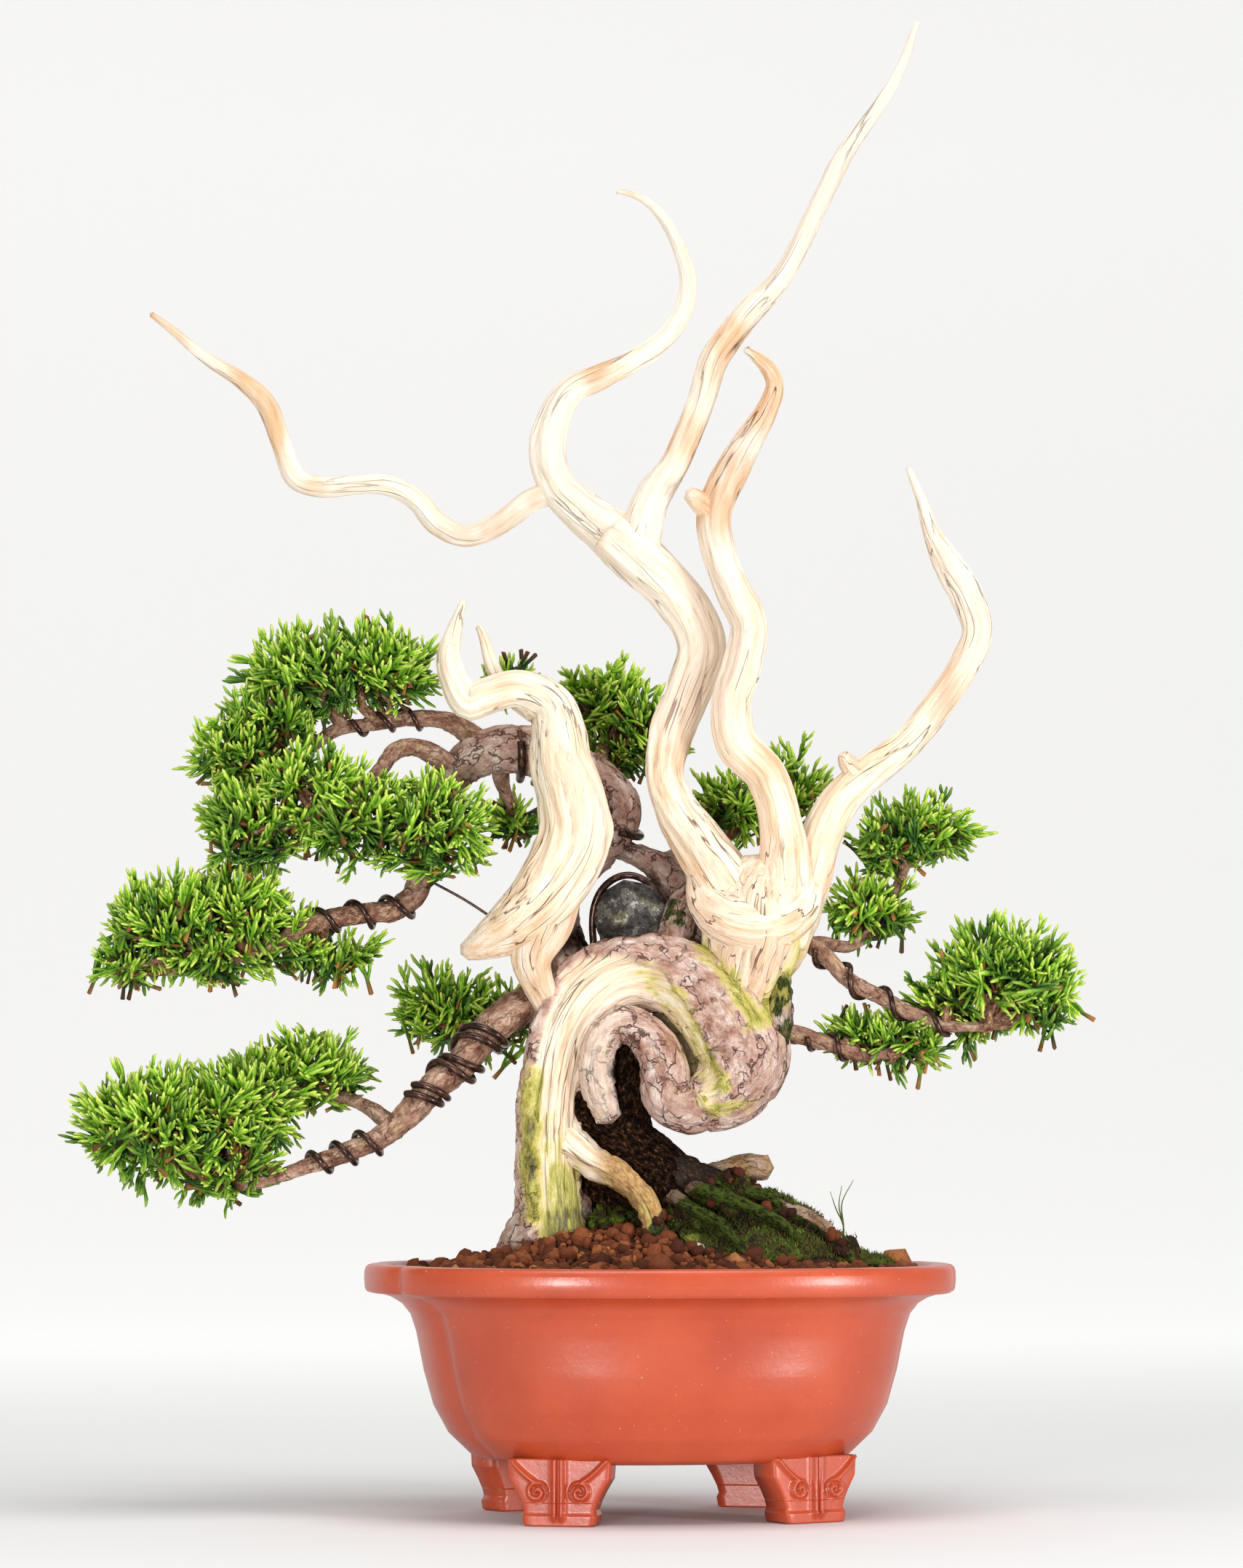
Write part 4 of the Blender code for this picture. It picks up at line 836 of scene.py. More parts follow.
def clad(rows, step, sides, relief, seed, bark=1.0, blunt=0.5, **finish):
    """A limb with its masks."""
    skin = limb(rows, step, sides, relief, seed, blunt)
    skin.update(trunk_masks(skin["points"], bark, **finish))
    skin["crack"] = seams(skin["grain"], YOUNG_PLATES if relief is bark_relief else PLATE_SCALE) * bark
    return skin


def patchy(skin, scale, seed, lift, low=-1, high=1):
    """From 0 to 1 in smooth patches; lift makes more of it."""
    return smooth_step(low, high, layered(skin["points"] * scale, seed, 2) + lift)


roots = {name: clad(rows, 1.4, 48, old_bark_relief, 20 + i, **ROOT_FINISH[name])
         for i, (name, rows) in enumerate(BASE_ROOTS.items())}
roots["wedge"]["ochre"] = 0.9 * smooth_step(-26, -17, roots["wedge"]["points"][:, 0])
roots["hollow"]["moss"] = 0.7 * (1 - smooth_step(100, 112, roots["hollow"]["points"][:, 2]))
roots["stub"]["ochre"] = 0.75 * patchy(roots["stub"], 0.15, 9, 0.2, high=0.6)
roots["outer"]["ochre"] = 0.4 * patchy(roots["outer"], 0.15, 9, 0.2, high=0.6)
rootlets = [clad(rows, 1.4, 12, old_bark_relief, 90 + i, bark=0.8, damp=0.7, ochre=0.35)
            for i, rows in enumerate(ROOTLETS)]
ring = clad(RING, 1.1, 56, old_bark_relief, 40)
ring["bark"] = 1 - 0.5 * smooth_step(-14, -19, ring["points"][:, 0] + 2.5 * noise(ring["points"] * 0.3, 5))
ring["pale"] = 1 - ring["bark"]
rear = clad(REAR_TRUNK, 1.5, 40, old_bark_relief, 50)
rear["young"] = 0.9 * smooth_step(-60, -95, rear["points"][:, 0])
rim = clad(NECK_RIM, 1.0, 30, old_bark_relief, 57, damp=0.3)
rim["moss"] = 0.7 * patchy(rim, 0.3, 4, 0.4)
saddle = clad(SADDLE, 1.0, 34, old_bark_relief, 58, damp=0.35)
saddle["moss"] = 0.75 * patchy(saddle, 0.3, 6, 0.1)
branches = [clad(rows, 1.5, 22, bark_relief, 60 + i, young=0.75)
            for i, rows in enumerate(BRANCHES.values())]
live_wood = stack([coil, ring, rear, rim, saddle, *roots.values(), *rootlets, *branches])
make_piece("live_wood", live_wood, LIVE, ["trunk_and_branches"])

# %% [markdown]
# The cut stump
#
# Behind the coil the old leader is sawn off. The cut has weathered dark, with pale swirls that run
# round its knots and a little algae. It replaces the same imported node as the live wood.

# %% Stump
STUMP = [(-8, 15, 190, 9), (-10, 10, 201, 10.5), (-11, 6, 208, 11.4), (-12, 3, 213, 8.5)]
STUMP_SWELL = 1.1


def stump_look(tree):
    """Weathered cut: dark grey with pale swirls that run round the knots."""
    where = stretched(own_place(tree), (1, 0.6, 1))
    rings = add(tree, "TexWave", "Fac", wave_type="RINGS", rings_direction="SPHERICAL", Scale=34.0,
                Distortion=14.0, Detail=4.0, Detail_Scale=1.6, Vector=where)
    swirl = rings * 0.22 + noise_node(where, 420, 4, 0.7) * 0.8
    body = ramp(swirl, (0.36, (16, 14, 13)), (0.46, (66, 62, 57)), (0.50, (28, 25, 23)),
                (0.58, (118, 114, 106)), (0.63, (60, 57, 52)), (0.72, (178, 174, 162)))
    green = band(noise_node(where, 110, 3, 0.6), 0.56, 0.66)
    return dict(Base_Color=blend(green * 0.6, body, (92, 92, 40)), Roughness=0.85,
                bump=(swirl, 0.0022, 1.0))


stump = clad([(*at, STUMP_SWELL * r) for *at, r in STUMP], 0.8, 72, old_bark_relief, 55, blunt=0.7)
make_piece("cut_stump", stump, new_material("weathered_cut", stump_look), ["trunk_and_branches"])

# %% [markdown]
# Dead spires
#
# Above the neck nothing is alive: three fluted trunks rise, kink and split into thin white spires, and
# a fourth sweeps out to the left. Each is one limb with the bare-wood relief. Where they meet, the
# thick roots of the limbs run into each other, so no joint shows.

# %% Dead limbs
APEX = [(-9, -1, 336, 7.4), (-4, -2, 351, 6.0), (5, -3, 365, 4.8), (13, -3, 384, 4.5),
        (18, -2, 400, 4.9), (27, 0, 413, 5.0), (33, 1, 420, 5.0), (39, 2, 426, 4.2),
        (46, 3, 437, 3.7), (54, 3, 454, 3.3), (63, 2, 472, 3.2), (70, 0, 482, 2.6),
        (78, -3, 493, 2.0), (84, -6, 504, 1.5), (87, -8, 513, 1.1), (89, -9, 518, 0.8)]
HOOK = [(-12, 1, 334, 8.4), (-19, 1, 340, 8.0), (-28, 0, 347, 7.0), (-36, -1, 355, 6.3),
        (-40, -2, 366, 5.8), (-38, -4, 378, 5.3), (-32, -7, 388, 4.7), (-21, -10, 393, 4.1),
        (-10, -12, 398, 3.7), (0, -13, 405, 3.5), (7, -12, 415, 3.3), (9, -9, 427, 3.1),
        (6, -6, 438, 2.5), (1, -4, 448, 2.0), (-5, -3, 455, 1.5), (-11, -3, 458, 1.1), (-16, -3, 459, 0.8)]
LEFT_REACH = [(-37, -1, 354, 4.2), (-46, 0, 351, 3.8), (-57, 3, 343, 3.7), (-68, 6, 339, 3.5),
              (-78, 8, 343, 3.7), (-86, 9, 352, 3.5), (-96, 9, 357, 3.1), (-107, 7, 357, 3.0),
              (-119, 4, 356, 3.3), (-128, 2, 359, 3.5), (-133, 1, 371, 3.4), (-138, 0, 384, 3.6),
              (-146, -1, 392, 3.0), (-159, -3, 400, 2.2), (-170, -5, 409, 1.5), (-178, -6, 415, 0.9)]
DEAD_MAIN = [(28, 0, 196, 12.5), (24, 0, 212, 11.5), (13, 1, 230, 9.6), (5, 2, 243, 7.8),
             (1, 3, 255, 6.9), (3, 4, 268, 7.5), (9, 4, 284, 7.6), (14, 4, 299, 8.0),
             (10, 3, 312, 7.9), (2, 1, 322, 8.3), (-9, 0, 332, 8.8), (-18, 0, 340, 8.2)]
DEAD_FRONT = [(36, -2, 200, 12.5), (42, -4, 218, 9.0), (41, -6, 238, 6.8), (36, -8, 254, 6.4),
              (26, -9, 265, 6.4), (24, -10, 279, 6.1), (28, -11, 293, 6.2), (30, -11, 306, 6.0),
              (25, -11, 317, 5.8), (20, -10, 330, 5.9), (18, -9, 344, 6.1), (22, -9, 356, 6.0),
              (29, -9, 369, 4.9), (36, -9, 381, 3.8), (39, -8, 390, 3.1), (36, -7, 397, 2.5),
              (29, -7, 403, 1.2)]
DEAD_RIGHT = [(40, 1, 200, 12.0), (50, 2, 216, 8.2), (55, 3, 232, 7.0), (62, 4, 246, 6.9),
              (72, 5, 256, 6.6), (86, 6, 267, 5.6), (97, 6, 281, 5.0), (106, 5, 295, 4.9),
              (110, 4, 306, 4.8), (106, 3, 318, 5.2), (100, 2, 328, 4.8), (94, 2, 340, 2.9),
              (91, 3, 350, 1.9), (88, 4, 358, 1.3), (86, 4, 363, 0.9)]
NECK = [(27, 1, 164, 8.0), (28, 1, 178, 11.5), (31, 0, 188, 14.0), (34, -1, 199, 16.0),
        (34, -1, 209, 16.5), (35, -1, 218, 13.0), (37, -1, 224, 8.0)]
LIP = [(12, 2, 221, 3.5), (16, -4, 211, 7), (23, -7, 205, 9.5), (32, -8, 203, 10.3), (41, -7, 205, 9.5),
       (48, -3, 212, 7), (53, 3, 223, 3.5)]
FRONT_KNOB = [(19, -9, 345, 4.5), (13, -11, 349, 3.6), (9, -12, 352, 2.2)]
RIGHT_KNOB = [(70, 4, 254, 4.6), (65, 1, 259, 3.4), (63, -1, 262, 2.0)]
SWEEP = [(-68, -9, 193, 3.0), (-62, -10, 196, 5.6), (-52, -11, 202, 8.8), (-41, -12, 212, 10.8),
         (-31, -11, 230, 11.6), (-31, -9, 245, 11.2), (-35, -7, 258, 10.0), (-36, -6, 269, 8.8),
         (-39, -6, 279, 7.0), (-50, -7, 284, 6.1), (-62, -8, 281, 5.8), (-67, -8, 279, 5.6),
         (-71, -8, 285, 5.0), (-74, -7, 295, 4.2), (-72, -6, 305, 2.7), (-69, -5, 315, 1.1)]
SWEEP_FOOT = [(-34, -9, 220, 7.0), (-40, -9, 204, 8.8), (-45, -8, 192, 7.4), (-43, -5, 183, 5.8),
              (-39, -1, 175, 5.2)]
SECOND_TIP = [(-44, -4, 278, 5.0), (-54, 1, 284, 3.2), (-59, 3, 293, 2.5), (-62, 4, 303, 1.6),
              (-64, 4, 307, 1.0)]
WARM_SPOTS = [(38, -8, 392, 30), (24, -10, 350, 22), (-140, 0, 385, 30), (-176, -6, 412, 20),
              (8, -3, 372, 14), (24, -1, 405, 14), (-20, -10, 393, 12), (6, 3, 262, 12)]
CROWN = [(APEX, 44), (HOOK, 48), (LEFT_REACH, 40), (DEAD_MAIN, 72), (DEAD_FRONT, 60), (DEAD_RIGHT, 60),
         (NECK, 110), (LIP, 60), (FRONT_KNOB, 40), (RIGHT_KNOB, 40)]


def spire(rows, sides, seed):
    """Bare limb: whiter with height, warm brown in blotches, at some spots and near the live wood."""
    skin = clad(rows, 1.5, sides, bare_relief, seed, bark=0.0)
    points = skin["points"]
    blotch = np.clip(layered(points * (0.09, 0.09, 0.05), seed + 3) - 0.25, 0, 1)
    aged = near_spots(points, WARM_SPOTS) * (0.7 + 0.5 * layered(points * (0.2, 0.2, 0.06), seed + 8))
    skin["warm"] = np.clip(0.7 * blotch + 0.4 * (1 - smooth_step(178, 215, points[:, 2])) + aged, 0, 1)
    skin["pale"] = smooth_step(230, 360, points[:, 2]) * (1 - skin["warm"])
    return skin


def spires(name, limbs, seed, replaced):
    skins = [spire(rows, sides, seed + i) for i, (rows, sides) in enumerate(limbs)]
    make_piece(name, stack(skins), BLEACHED, [replaced])


spires("dead_crown", CROWN, 100, "deadwood_crown")
spires("dead_left_spire", [(SWEEP, 84), (SWEEP_FOOT, 60), (SECOND_TIP, 40)], 120, "deadwood_left")

# %% [markdown]
# Scale foliage
#
# Chinese juniper carries its tiny leaves pressed to the shoots, so a spray looks like a bunch of soft
# green cords. One shoot is a three-sided tube whose thickness goes in and out like overlapping scales.
# A sprig is a main shoot with five side shoots; five different sprigs are made once and then placed
# by the thousand with one matrix product, each turned and scaled by its own random numbers.


# %% Sprigs
SPRIG_LENGTH = 15
UP = np.array([0, 0, 1.0])
SIDE_SHOOTS = (0.30, 0.44, 0.57, 0.70, 0.82)      # where they leave the main shoot, as shares of it


def shoot(length, radius, start, aim, bend, phase):
    """Three-sided tube along start + length * (t * aim + t^2 * bend), going in and out at each scale."""
    t = np.linspace(0, 1, 4)
    middle = start + length * (t[:, None] * aim + t[:, None] ** 2 * bend)
    tangent = unit(np.gradient(middle, axis=0))
    u = unit(np.cross(tangent, (0.31, 0.87, 0.12)))
    thick = radius * (1 - 0.25 * t ** 3) * (1 + 0.14 * (-1.0) ** np.arange(4))
    grid = middle[:, None] + thick[:, None, None] * around(circle(3) + phase, u, np.cross(tangent, u))
    poles = middle[[0, -1]] + tangent[[0, -1]] * [[-0.3], [0.6]]
    return closed(grid, poles, tip=np.append(np.repeat(t, 3), [0, 1]))


def sprig(seed):
    """A main shoot up the z axis with side shoots round it; tip goes from 0 at the root to 1."""
    draw = np.random.default_rng(seed)
    bend = np.array([*draw.uniform(-0.22, 0.22, 2), 0])
    parts = [shoot(SPRIG_LENGTH, 0.74, np.zeros(3), UP, bend, 0)]
    parts[0]["tip"] = parts[0]["tip"] * 0.85
    for k, t in enumerate(SIDE_SHOOTS):
        turn = math.pi * k + 0.5 * k + draw.uniform(-0.6, 0.6)
        lean = math.radians(draw.uniform(34, 52))
        out = np.array([math.cos(turn), math.sin(turn), 0])
        start = SPRIG_LENGTH * (t * UP + t * t * bend)
        length = draw.uniform(0.85, 1.3) * (9.2 - 5.5 * t)
        side = shoot(length, 0.66, start, out * math.sin(lean) + UP * math.cos(lean),
                     -0.34 * out + 0.14 * UP, k)
        side["tip"] = 0.35 + 0.65 * side["tip"]
        parts.append(side)
    return stack(parts)


SPRIGS = [sprig(seed) for seed in range(5)]
print("one sprig:", len(SPRIGS[0]["quads"]) * 2 + len(SPRIGS[0]["tris"]), "triangles")

# %% [markdown]
# Pads
#
# A pad of foliage is a cluster of rounded lumps of twigs. Sites are spread evenly over each lump by
# the golden angle, those buried in a neighbouring lump are dropped, and a sprig grows from inside the
# lump through each site, outwards and a little up. A second layer further in closes the view to the other
# side, as the old inner foliage does; it is painted darker as shade inside the pad, and sprigs that face up
# are painted lighter.

# %% Lumps and planting
FOLIAGE = {
    "foliage_upper_left": [(-122, 4, 290, 19, 15, 12), (-101, 6, 292, 17, 14, 12), (-136, 2, 274, 13, 11, 9),
                           (-147, 0, 262, 13, 11, 10)],
    "foliage_middle_left": [(-141, -10, 236, 14, 12, 13), (-122, -12, 252, 12, 10, 9),
                            (-122, -12, 238, 12, 10, 8), (-104, -14, 238, 16, 13, 13),
                            (-81, -14, 235, 18, 13, 14)],
    "foliage_lower_left": [(-169, -10, 202, 18, 15, 13), (-148, -8, 206, 17, 14, 12),
                           (-156, -10, 192, 13, 10, 7), (-183, -9, 190, 8, 8, 7), (-132, -2, 198, 12, 10, 8),
                           (-117, 4, 192, 14, 9, 6)],
    "foliage_lowest": [(-171, -22, 133, 22, 19, 15), (-147, -20, 135, 16, 16, 14),
                       (-150, -22, 119, 13, 10, 9), (-137, -8, 145, 12, 12, 11), (-122, 3, 151, 16, 12, 11)],
    "foliage_behind": [(-76, 31, 174, 14, 11, 11), (-58, 32, 170, 11, 10, 9)],
    "foliage_crown_back": [(-22, 46, 283, 14, 11, 11), (-6, 44, 274, 12, 10, 11), (-18, 46, 266, 9, 9, 7)],
    "foliage_spray": [(-53, 34, 291, 7, 6, 5)],
    "foliage_hidden": [(-53, 36, 242, 6, 6, 6)],
    "foliage_back_right": [(44, 45, 253, 12, 10, 10), (27, 44, 246, 13, 10, 9), (14, 42, 240, 7, 8, 6)],
    "foliage_right_high": [(92, 22, 237, 14, 12, 9), (79, 20, 232, 9, 8, 8)],
    "foliage_right_middle": [(73, 18, 209, 12, 10, 8)],
    "foliage_right": [(118, 2, 187, 18, 16, 13), (132, 2, 177, 9, 10, 9), (101, 10, 178, 11, 10, 8),
                      (112, 12, 172, 12, 9, 7)],
    "foliage_right_low": [(84, 13, 163, 12, 9, 6), (69, 14, 165, 9, 8, 6)],
}
FULLNESS = 1.13
SITE_AREA = 29.0                # square millimetres of lump for each sprig
GOLDEN = math.pi * (3 - math.sqrt(5))


def sphere_points(count):
    """Even unit vectors: equal steps in height, the golden angle round."""
    i = np.arange(count) + 0.5
    z = 1 - 2 * i / count
    ring = np.sqrt(1 - z * z)
    return np.column_stack([ring * np.cos(GOLDEN * i), ring * np.sin(GOLDEN * i), z])


def sites(lumps, swell, area, draw):
    """Points and outward normals on the lumps, without those inside another lump."""
    rows = np.array(lumps, float)
    rows[:, 3:] *= swell
    where, facing = [], []
    for i, (x, y, z, a, b, c) in enumerate(rows):
        size = 4 * math.pi * (((a * b) ** 1.6 + (a * c) ** 1.6 + (b * c) ** 1.6) / 3) ** (1 / 1.6)
        ball = sphere_points(max(12, round(size / area)))
        points = (x, y, z) + ball * (a, b, c) * draw.uniform(0.94, 1.06, (len(ball), 1))
        others = np.delete(rows, i, axis=0)
        reach = np.linalg.norm((points[:, None] - others[None, :, :3]) / others[None, :, 3:], axis=2)
        free = (reach > 0.97).all(axis=1)
        free &= draw.random(len(ball)) < 1.0 + 0.55 * np.minimum(ball[:, 2] + 0.2, 0)
        where.append(points[free])
        facing.append(unit(ball / (a, b, c))[free])
    return np.vstack(where), np.vstack(facing)


def plant(points, facing, reach, tone, draw):
    """Sprigs whose tips stand reach beyond the points: base + scale * (x u + y v + z aim) for each one."""
    count = len(points)
    aim = unit(0.9 * facing + [0, 0, 0.34] + 0.42 * draw.normal(size=(count, 3)))
    u = unit(np.cross(aim, draw.normal(size=(count, 3))))
    v = np.cross(aim, u)
    size = draw.uniform(0.82, 1.22, count)
    root = reach[0] + reach[1] * draw.beta(2, 2.4, count) - SPRIG_LENGTH * size
    base = points + aim * root[:, None]
    # tone: random, plus painted light from above, as sprigs that face up are made lighter
    tone_and_light = tone + draw.normal(0, 0.22, count) + 0.18 * facing[:, 2]
    kind = draw.integers(0, len(SPRIGS), count)
    skins = []
    for k, pattern in enumerate(SPRIGS):
        chosen = np.flatnonzero(kind == k)
        x, y, z = pattern["points"].T[:, None, :, None] * size[None, chosen, None, None]
        grown = base[chosen, None] + x * u[chosen, None] + y * v[chosen, None] + z * aim[chosen, None]
        skins.append(repeated(pattern, grown, tip=np.tile(pattern["tip"], len(chosen)),
                              tone=np.repeat(tone_and_light[chosen], grown.shape[1])))
    return stack(skins)


print(sum(len(lumps) for lumps in FOLIAGE.values()), "lumps in", len(FOLIAGE), "pads")

# %% [markdown]
# The green of the shoots
#
# Each shoot is woody at its root, deep green along its length and lighter at the growing tip. The tone
# value makes whole sprigs lighter or darker, partly at random and partly as painted light: lighter where a
# sprig faces up, and darker, as painted shade, in the inner layer. A darker copy of the green serves the
# darker sprigs and the painted shade, and a fine noise marks the scales.


# %% Foliage material and pads
def foliage_look(tree):
    where = own_place(tree)
    scales = noise_node(where, 900, 2, 0.5)
    tip = attribute(tree, "tip") + (scales - 0.5) * 0.30
    green = ramp(tip, (0.02, (178, 116, 58)), (0.19, (116, 108, 34)), (0.38, (94, 146, 30)),
                 (0.72, (144, 194, 46)), (0.97, (210, 226, 104)))
    # darker copy of the green, for darker sprigs and for painted shade inside the pads
    dark_and_shaded_green = ramp(tip, (0.02, (92, 54, 30)), (0.2, (34, 54, 22)), (0.6, (46, 88, 26)), (0.97, (98, 142, 42)))
    tone = attribute(tree, "tone") + (noise_node(where, 34, 3, 0.6) - 0.5)
    return dict(Base_Color=blend(band(tone, 0.05, 0.75), dark_and_shaded_green, green), Roughness=0.55,
                Specular_IOR_Level=0.25, bump=(scales, 0.0003, 0.6))


GREEN = new_material("juniper_foliage", foliage_look)
for index, (name, lumps) in enumerate(FOLIAGE.items()):
    draw = np.random.default_rng(300 + index)
    outer = plant(*sites(lumps, FULLNESS, SITE_AREA, draw), (-2.5, 12), 0.5, draw)
    # the inner layer gets a low tone: painted shade inside the pad
    inner = plant(*sites(lumps, FULLNESS * 0.62, SITE_AREA * 1.3, draw), (-1, 6), -0.1, draw)
    make_piece(name.replace("foliage", "sprays"), stack([outer, inner]), GREEN, [name])

# %% [markdown]
# Twigs
#
# The pads hang on thin reddish twigs that fork from the branches and show wherever the foliage is
# open. From the nearest point of a limb, twigs run through each lump towards its surface.


# %% Twigs inside the pads
def twig_rows(root, centre, end, draw):
    """Bent line from the limb by way of the lump's middle to near its surface."""
    way = root + (centre - root) * 0.45 + draw.normal(0, 2.2, 3)
    inner = centre + (end - centre) * 0.25 + draw.normal(0, 1.6, 3)
    reach = 0.85 if end[2] > centre[2] else 0.5
    line = np.array([root, way, inner, centre + (end - centre) * reach])
    return np.column_stack([line, [1.5, 1.25, 0.95, 0.6]])


limb_points = np.vstack([smooth_line(rows, 3)[0] for rows in [REAR_TRUNK, *BRANCHES.values()]])[:, :3]
twigs = []
for index, lumps in enumerate(FOLIAGE.values()):
    draw = np.random.default_rng(500 + index)
    for lump in np.array(lumps, float):
        root = limb_points[np.argmin(np.linalg.norm(limb_points - lump[:3], axis=1))]
        for ball in sphere_points(6):
            rows = twig_rows(root, lump[:3] - (0, 0, 0.2 * lump[5]), lump[:3] + ball * lump[3:], draw)
            twigs.append(clad(rows, 2.2, 6, bark_relief, 700 + len(twigs), young=1.0))
make_piece("fine_twigs", stack(twigs), LIVE)

# %% [markdown]
# Training wire
#
# Soft annealed wire bends the branches. It is a thin tube along a helix that hugs the limb: the helix
# follows the limb's line and radius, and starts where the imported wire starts.

# %% Wire
WIRES = {
    "wire_lowest_a": ("lowest", 0.18, 0.452, 2.7, 1.25, 0.0),
    "wire_lowest_b": ("lowest", 0.208, 0.480, 2.7, 1.25, 0.0),
    "wire_lowest_c": ("lowest", 0.60, 0.79, 3.0, 1.1, 0.0),
    "wire_rear_low": ("rear", 0.278, 0.3032, 0.9, 1.5, 4.0),
    "wire_rear_left": ("rear", 0.435, 0.472, 1.3, 1.5, 2.0),
    "wire_middle": ("rear", 0.745, 0.88, 2.83, 1.0, 0.5),
    "wire_upper_left": ("upper_left", 0.27, 0.58, 2.6, 0.9, 0.0),
    "wire_right_main": ("right_main", 0.32, 0.86, 3.3, 1.0, 0.0),
    "wire_right_low": ("right_low", 0.30, 0.80, 2.0, 0.9, 0.0),
}
GUY_WIRE = [(-79.9, 7.6, 218, 0.5), (-68, 7.8, 211.5, 0.5), (-55, 7.0, 203.0, 0.5), (-43.2, 6.4, 195.7, 0.5)]
STUMP_WIRE = [(-23.6, 9, 196.5, 1.3), (-24.0, 9, 203, 1.3), (-23.4, 8.5, 209.4, 1.3), (-21.0, 8, 215, 1.3),
              (-16.8, 8, 219.0, 1.3), (-11.5, 8, 220.5, 1.3), (-6.3, 7, 218.9, 1.3), (-2.0, 6, 214.9, 1.3),
              (1.3, 6, 209.6, 1.3), (3.4, 5, 204.0, 1.3)]


def wire_look(tree):
    """Dark brown annealed wire with duller and rustier spots."""
    spots = noise_node(own_place(tree), 420, 4, 0.6)
    body = ramp(spots, (0.35, (44, 30, 28)), (0.55, (74, 50, 42)), (0.75, (122, 84, 62)))
    return dict(Base_Color=body, Roughness=ramp(spots, (0.3, 3 * (96,)), (0.7, 3 * (170,))), Metallic=0.6,
                bump=(spots, 0.0002, 0.5))


def wound(rows, first, last, turns, thick, start):
    """Line + (limb radius + wire radius) * (cos angle * front + sin angle * side), angle growing."""
    line, along = smooth_line(rows, 1.0)
    tangent, front, side = front_and_side(line)
    share = np.linspace(first, last, int(turns * 26)) * along[-1]
    read = lambda table: np.column_stack([np.interp(share, along, column) for column in table.T])
    middle = read(line)
    across = np.cross(tangent[0], (0, 0, 1.0))
    angle = start + math.atan2(across @ side[0], across @ front[0])
    angle = angle + np.linspace(0, 2 * np.pi * turns, len(share))
    out = middle[:, 3] * 1.06 + thick * 0.85
    path = middle[:, :3] + out[:, None] * around(angle[:, None], read(front), read(side))[:, 0]
    return np.column_stack([path, np.full(len(share), thick)])


def wire_relief(turn, far, radius, seed):
    return 1 + 0.02 * ring_noise(turn, far, 1, 3, seed)


def make_wire(name, rows, node):
    """Round tube with hardly any relief."""
    make_piece(name, limb(rows, 0.9, 10, wire_relief, 9, 0.2), WIRE, [node])


WIRE = new_material("annealed_wire", wire_look)
limbs = {"rear": REAR_TRUNK, **BRANCHES}
for name, (limb_name, *winding) in WIRES.items():
    make_wire("wound_" + name, wound(limbs[limb_name], *winding), name)
make_wire("tight_guy_wire", GUY_WIRE, "guy_wire")
make_wire("wire_over_stump", STUMP_WIRE, "wire_stump")

# %% [markdown]
# The pot
#
# A glazed-smooth unglazed clay: an oval with a crease where the short lobes meet the long ones, a
# rolled rim, a shoulder under it and a belly that runs in to the foot ring. Its skin is one profile
# carried round the oval, from the middle of the underside over the rim to the middle of the floor.

# %% Pot profile and section
DEPTH_RATIO = 0.78
OVAL_POWER = 2.3
CREASE_ANGLE = math.radians(17)
CREASE_DEPTH = 0.030
CREASE_WIDTH = math.radians(5.0)
BELLY_SWELL, BELLY_HEIGHT = 0.024, 44
INNER_HALF = 86.6               # half length of the opening where the grains lie
POT_PROFILE = [(30, 20.0), (60.0, 20.0), (63.5, 20.5), (66.0, 21.6), (73.4, 28.6), (78.6, 38.0), (82.0, 50.0),
               (84.6, 63.0), (86.6, 69.0), (89.5, 72.6), (93.5, 75.0), (97.0, 76.1), (100.4, 76.4),
               (101.7, 76.8), (102.3, 77.8), (102.6, 80.8), (102.5, 83.6), (102.1, 85.0), (101.2, 85.8),
               (100.0, 86.1), (96.0, 86.1), (94.8, 85.9), (93.9, 85.2), (92.8, 84.4), (91.0, 82.6),
               (84.0, 74.5), (78.0, 60.0), (73.0, 42.0), (70.5, 34.5), (67.0, 30.4), (58.0, 27.0), (30, 27.0)]


def oval(turn):
    """Superellipse, drawn in where the short lobes meet the long ones; the unit is its half length."""
    c, s = np.cos(turn), np.sin(turn)
    away = np.abs((turn + CREASE_ANGLE) % np.pi)
    near = np.minimum.reduce([away, np.pi - away, np.abs(away - 2 * CREASE_ANGLE)])
    notch = 1 - CREASE_DEPTH * np.exp(-near / CREASE_WIDTH)
    x = np.sign(c) * np.abs(c) ** (2 / OVAL_POWER) * notch
    y = DEPTH_RATIO * np.sign(s) * np.abs(s) ** (2 / OVAL_POWER) * notch
    return np.stack([x, y], axis=-1)


def pot_skin(sides=288):
    """Profile (half length, height) times the unit oval; front and back swell at the belly."""
    profile = np.array(POT_PROFILE, float)
    length = np.concatenate([[0], np.cumsum(np.linalg.norm(np.diff(profile, axis=0), axis=1))])
    even = np.unique(np.concatenate([length, np.arange(0, length[-1], 3.0)]))
    half, z = (np.interp(even, length, column) for column in profile.T)
    turn = circle(sides)
    flat = half[:, None, None] * oval(turn)[None]
    outside = np.arange(len(z)) < np.argmax(z)
    belly = BELLY_SWELL * outside * np.exp(-((z - BELLY_HEIGHT) / 10) ** 2)
    flat[..., 1] *= 1 + belly[:, None] * np.abs(np.sin(turn)) ** 3
    points = np.concatenate([flat, np.broadcast_to(z[:, None, None], (*flat.shape[:2], 1))], axis=-1)
    return closed(points, [(0, 0, z[0]), (0, 0, z[-1])])


print("the pot's skin has", len(pot_skin()["points"]), "points")

# %% [markdown]
# Clay
#
# The pot is a warm orange red with a satin skin. Close up it has fine dark and light specks and a
# faint cloudiness from the kiln.


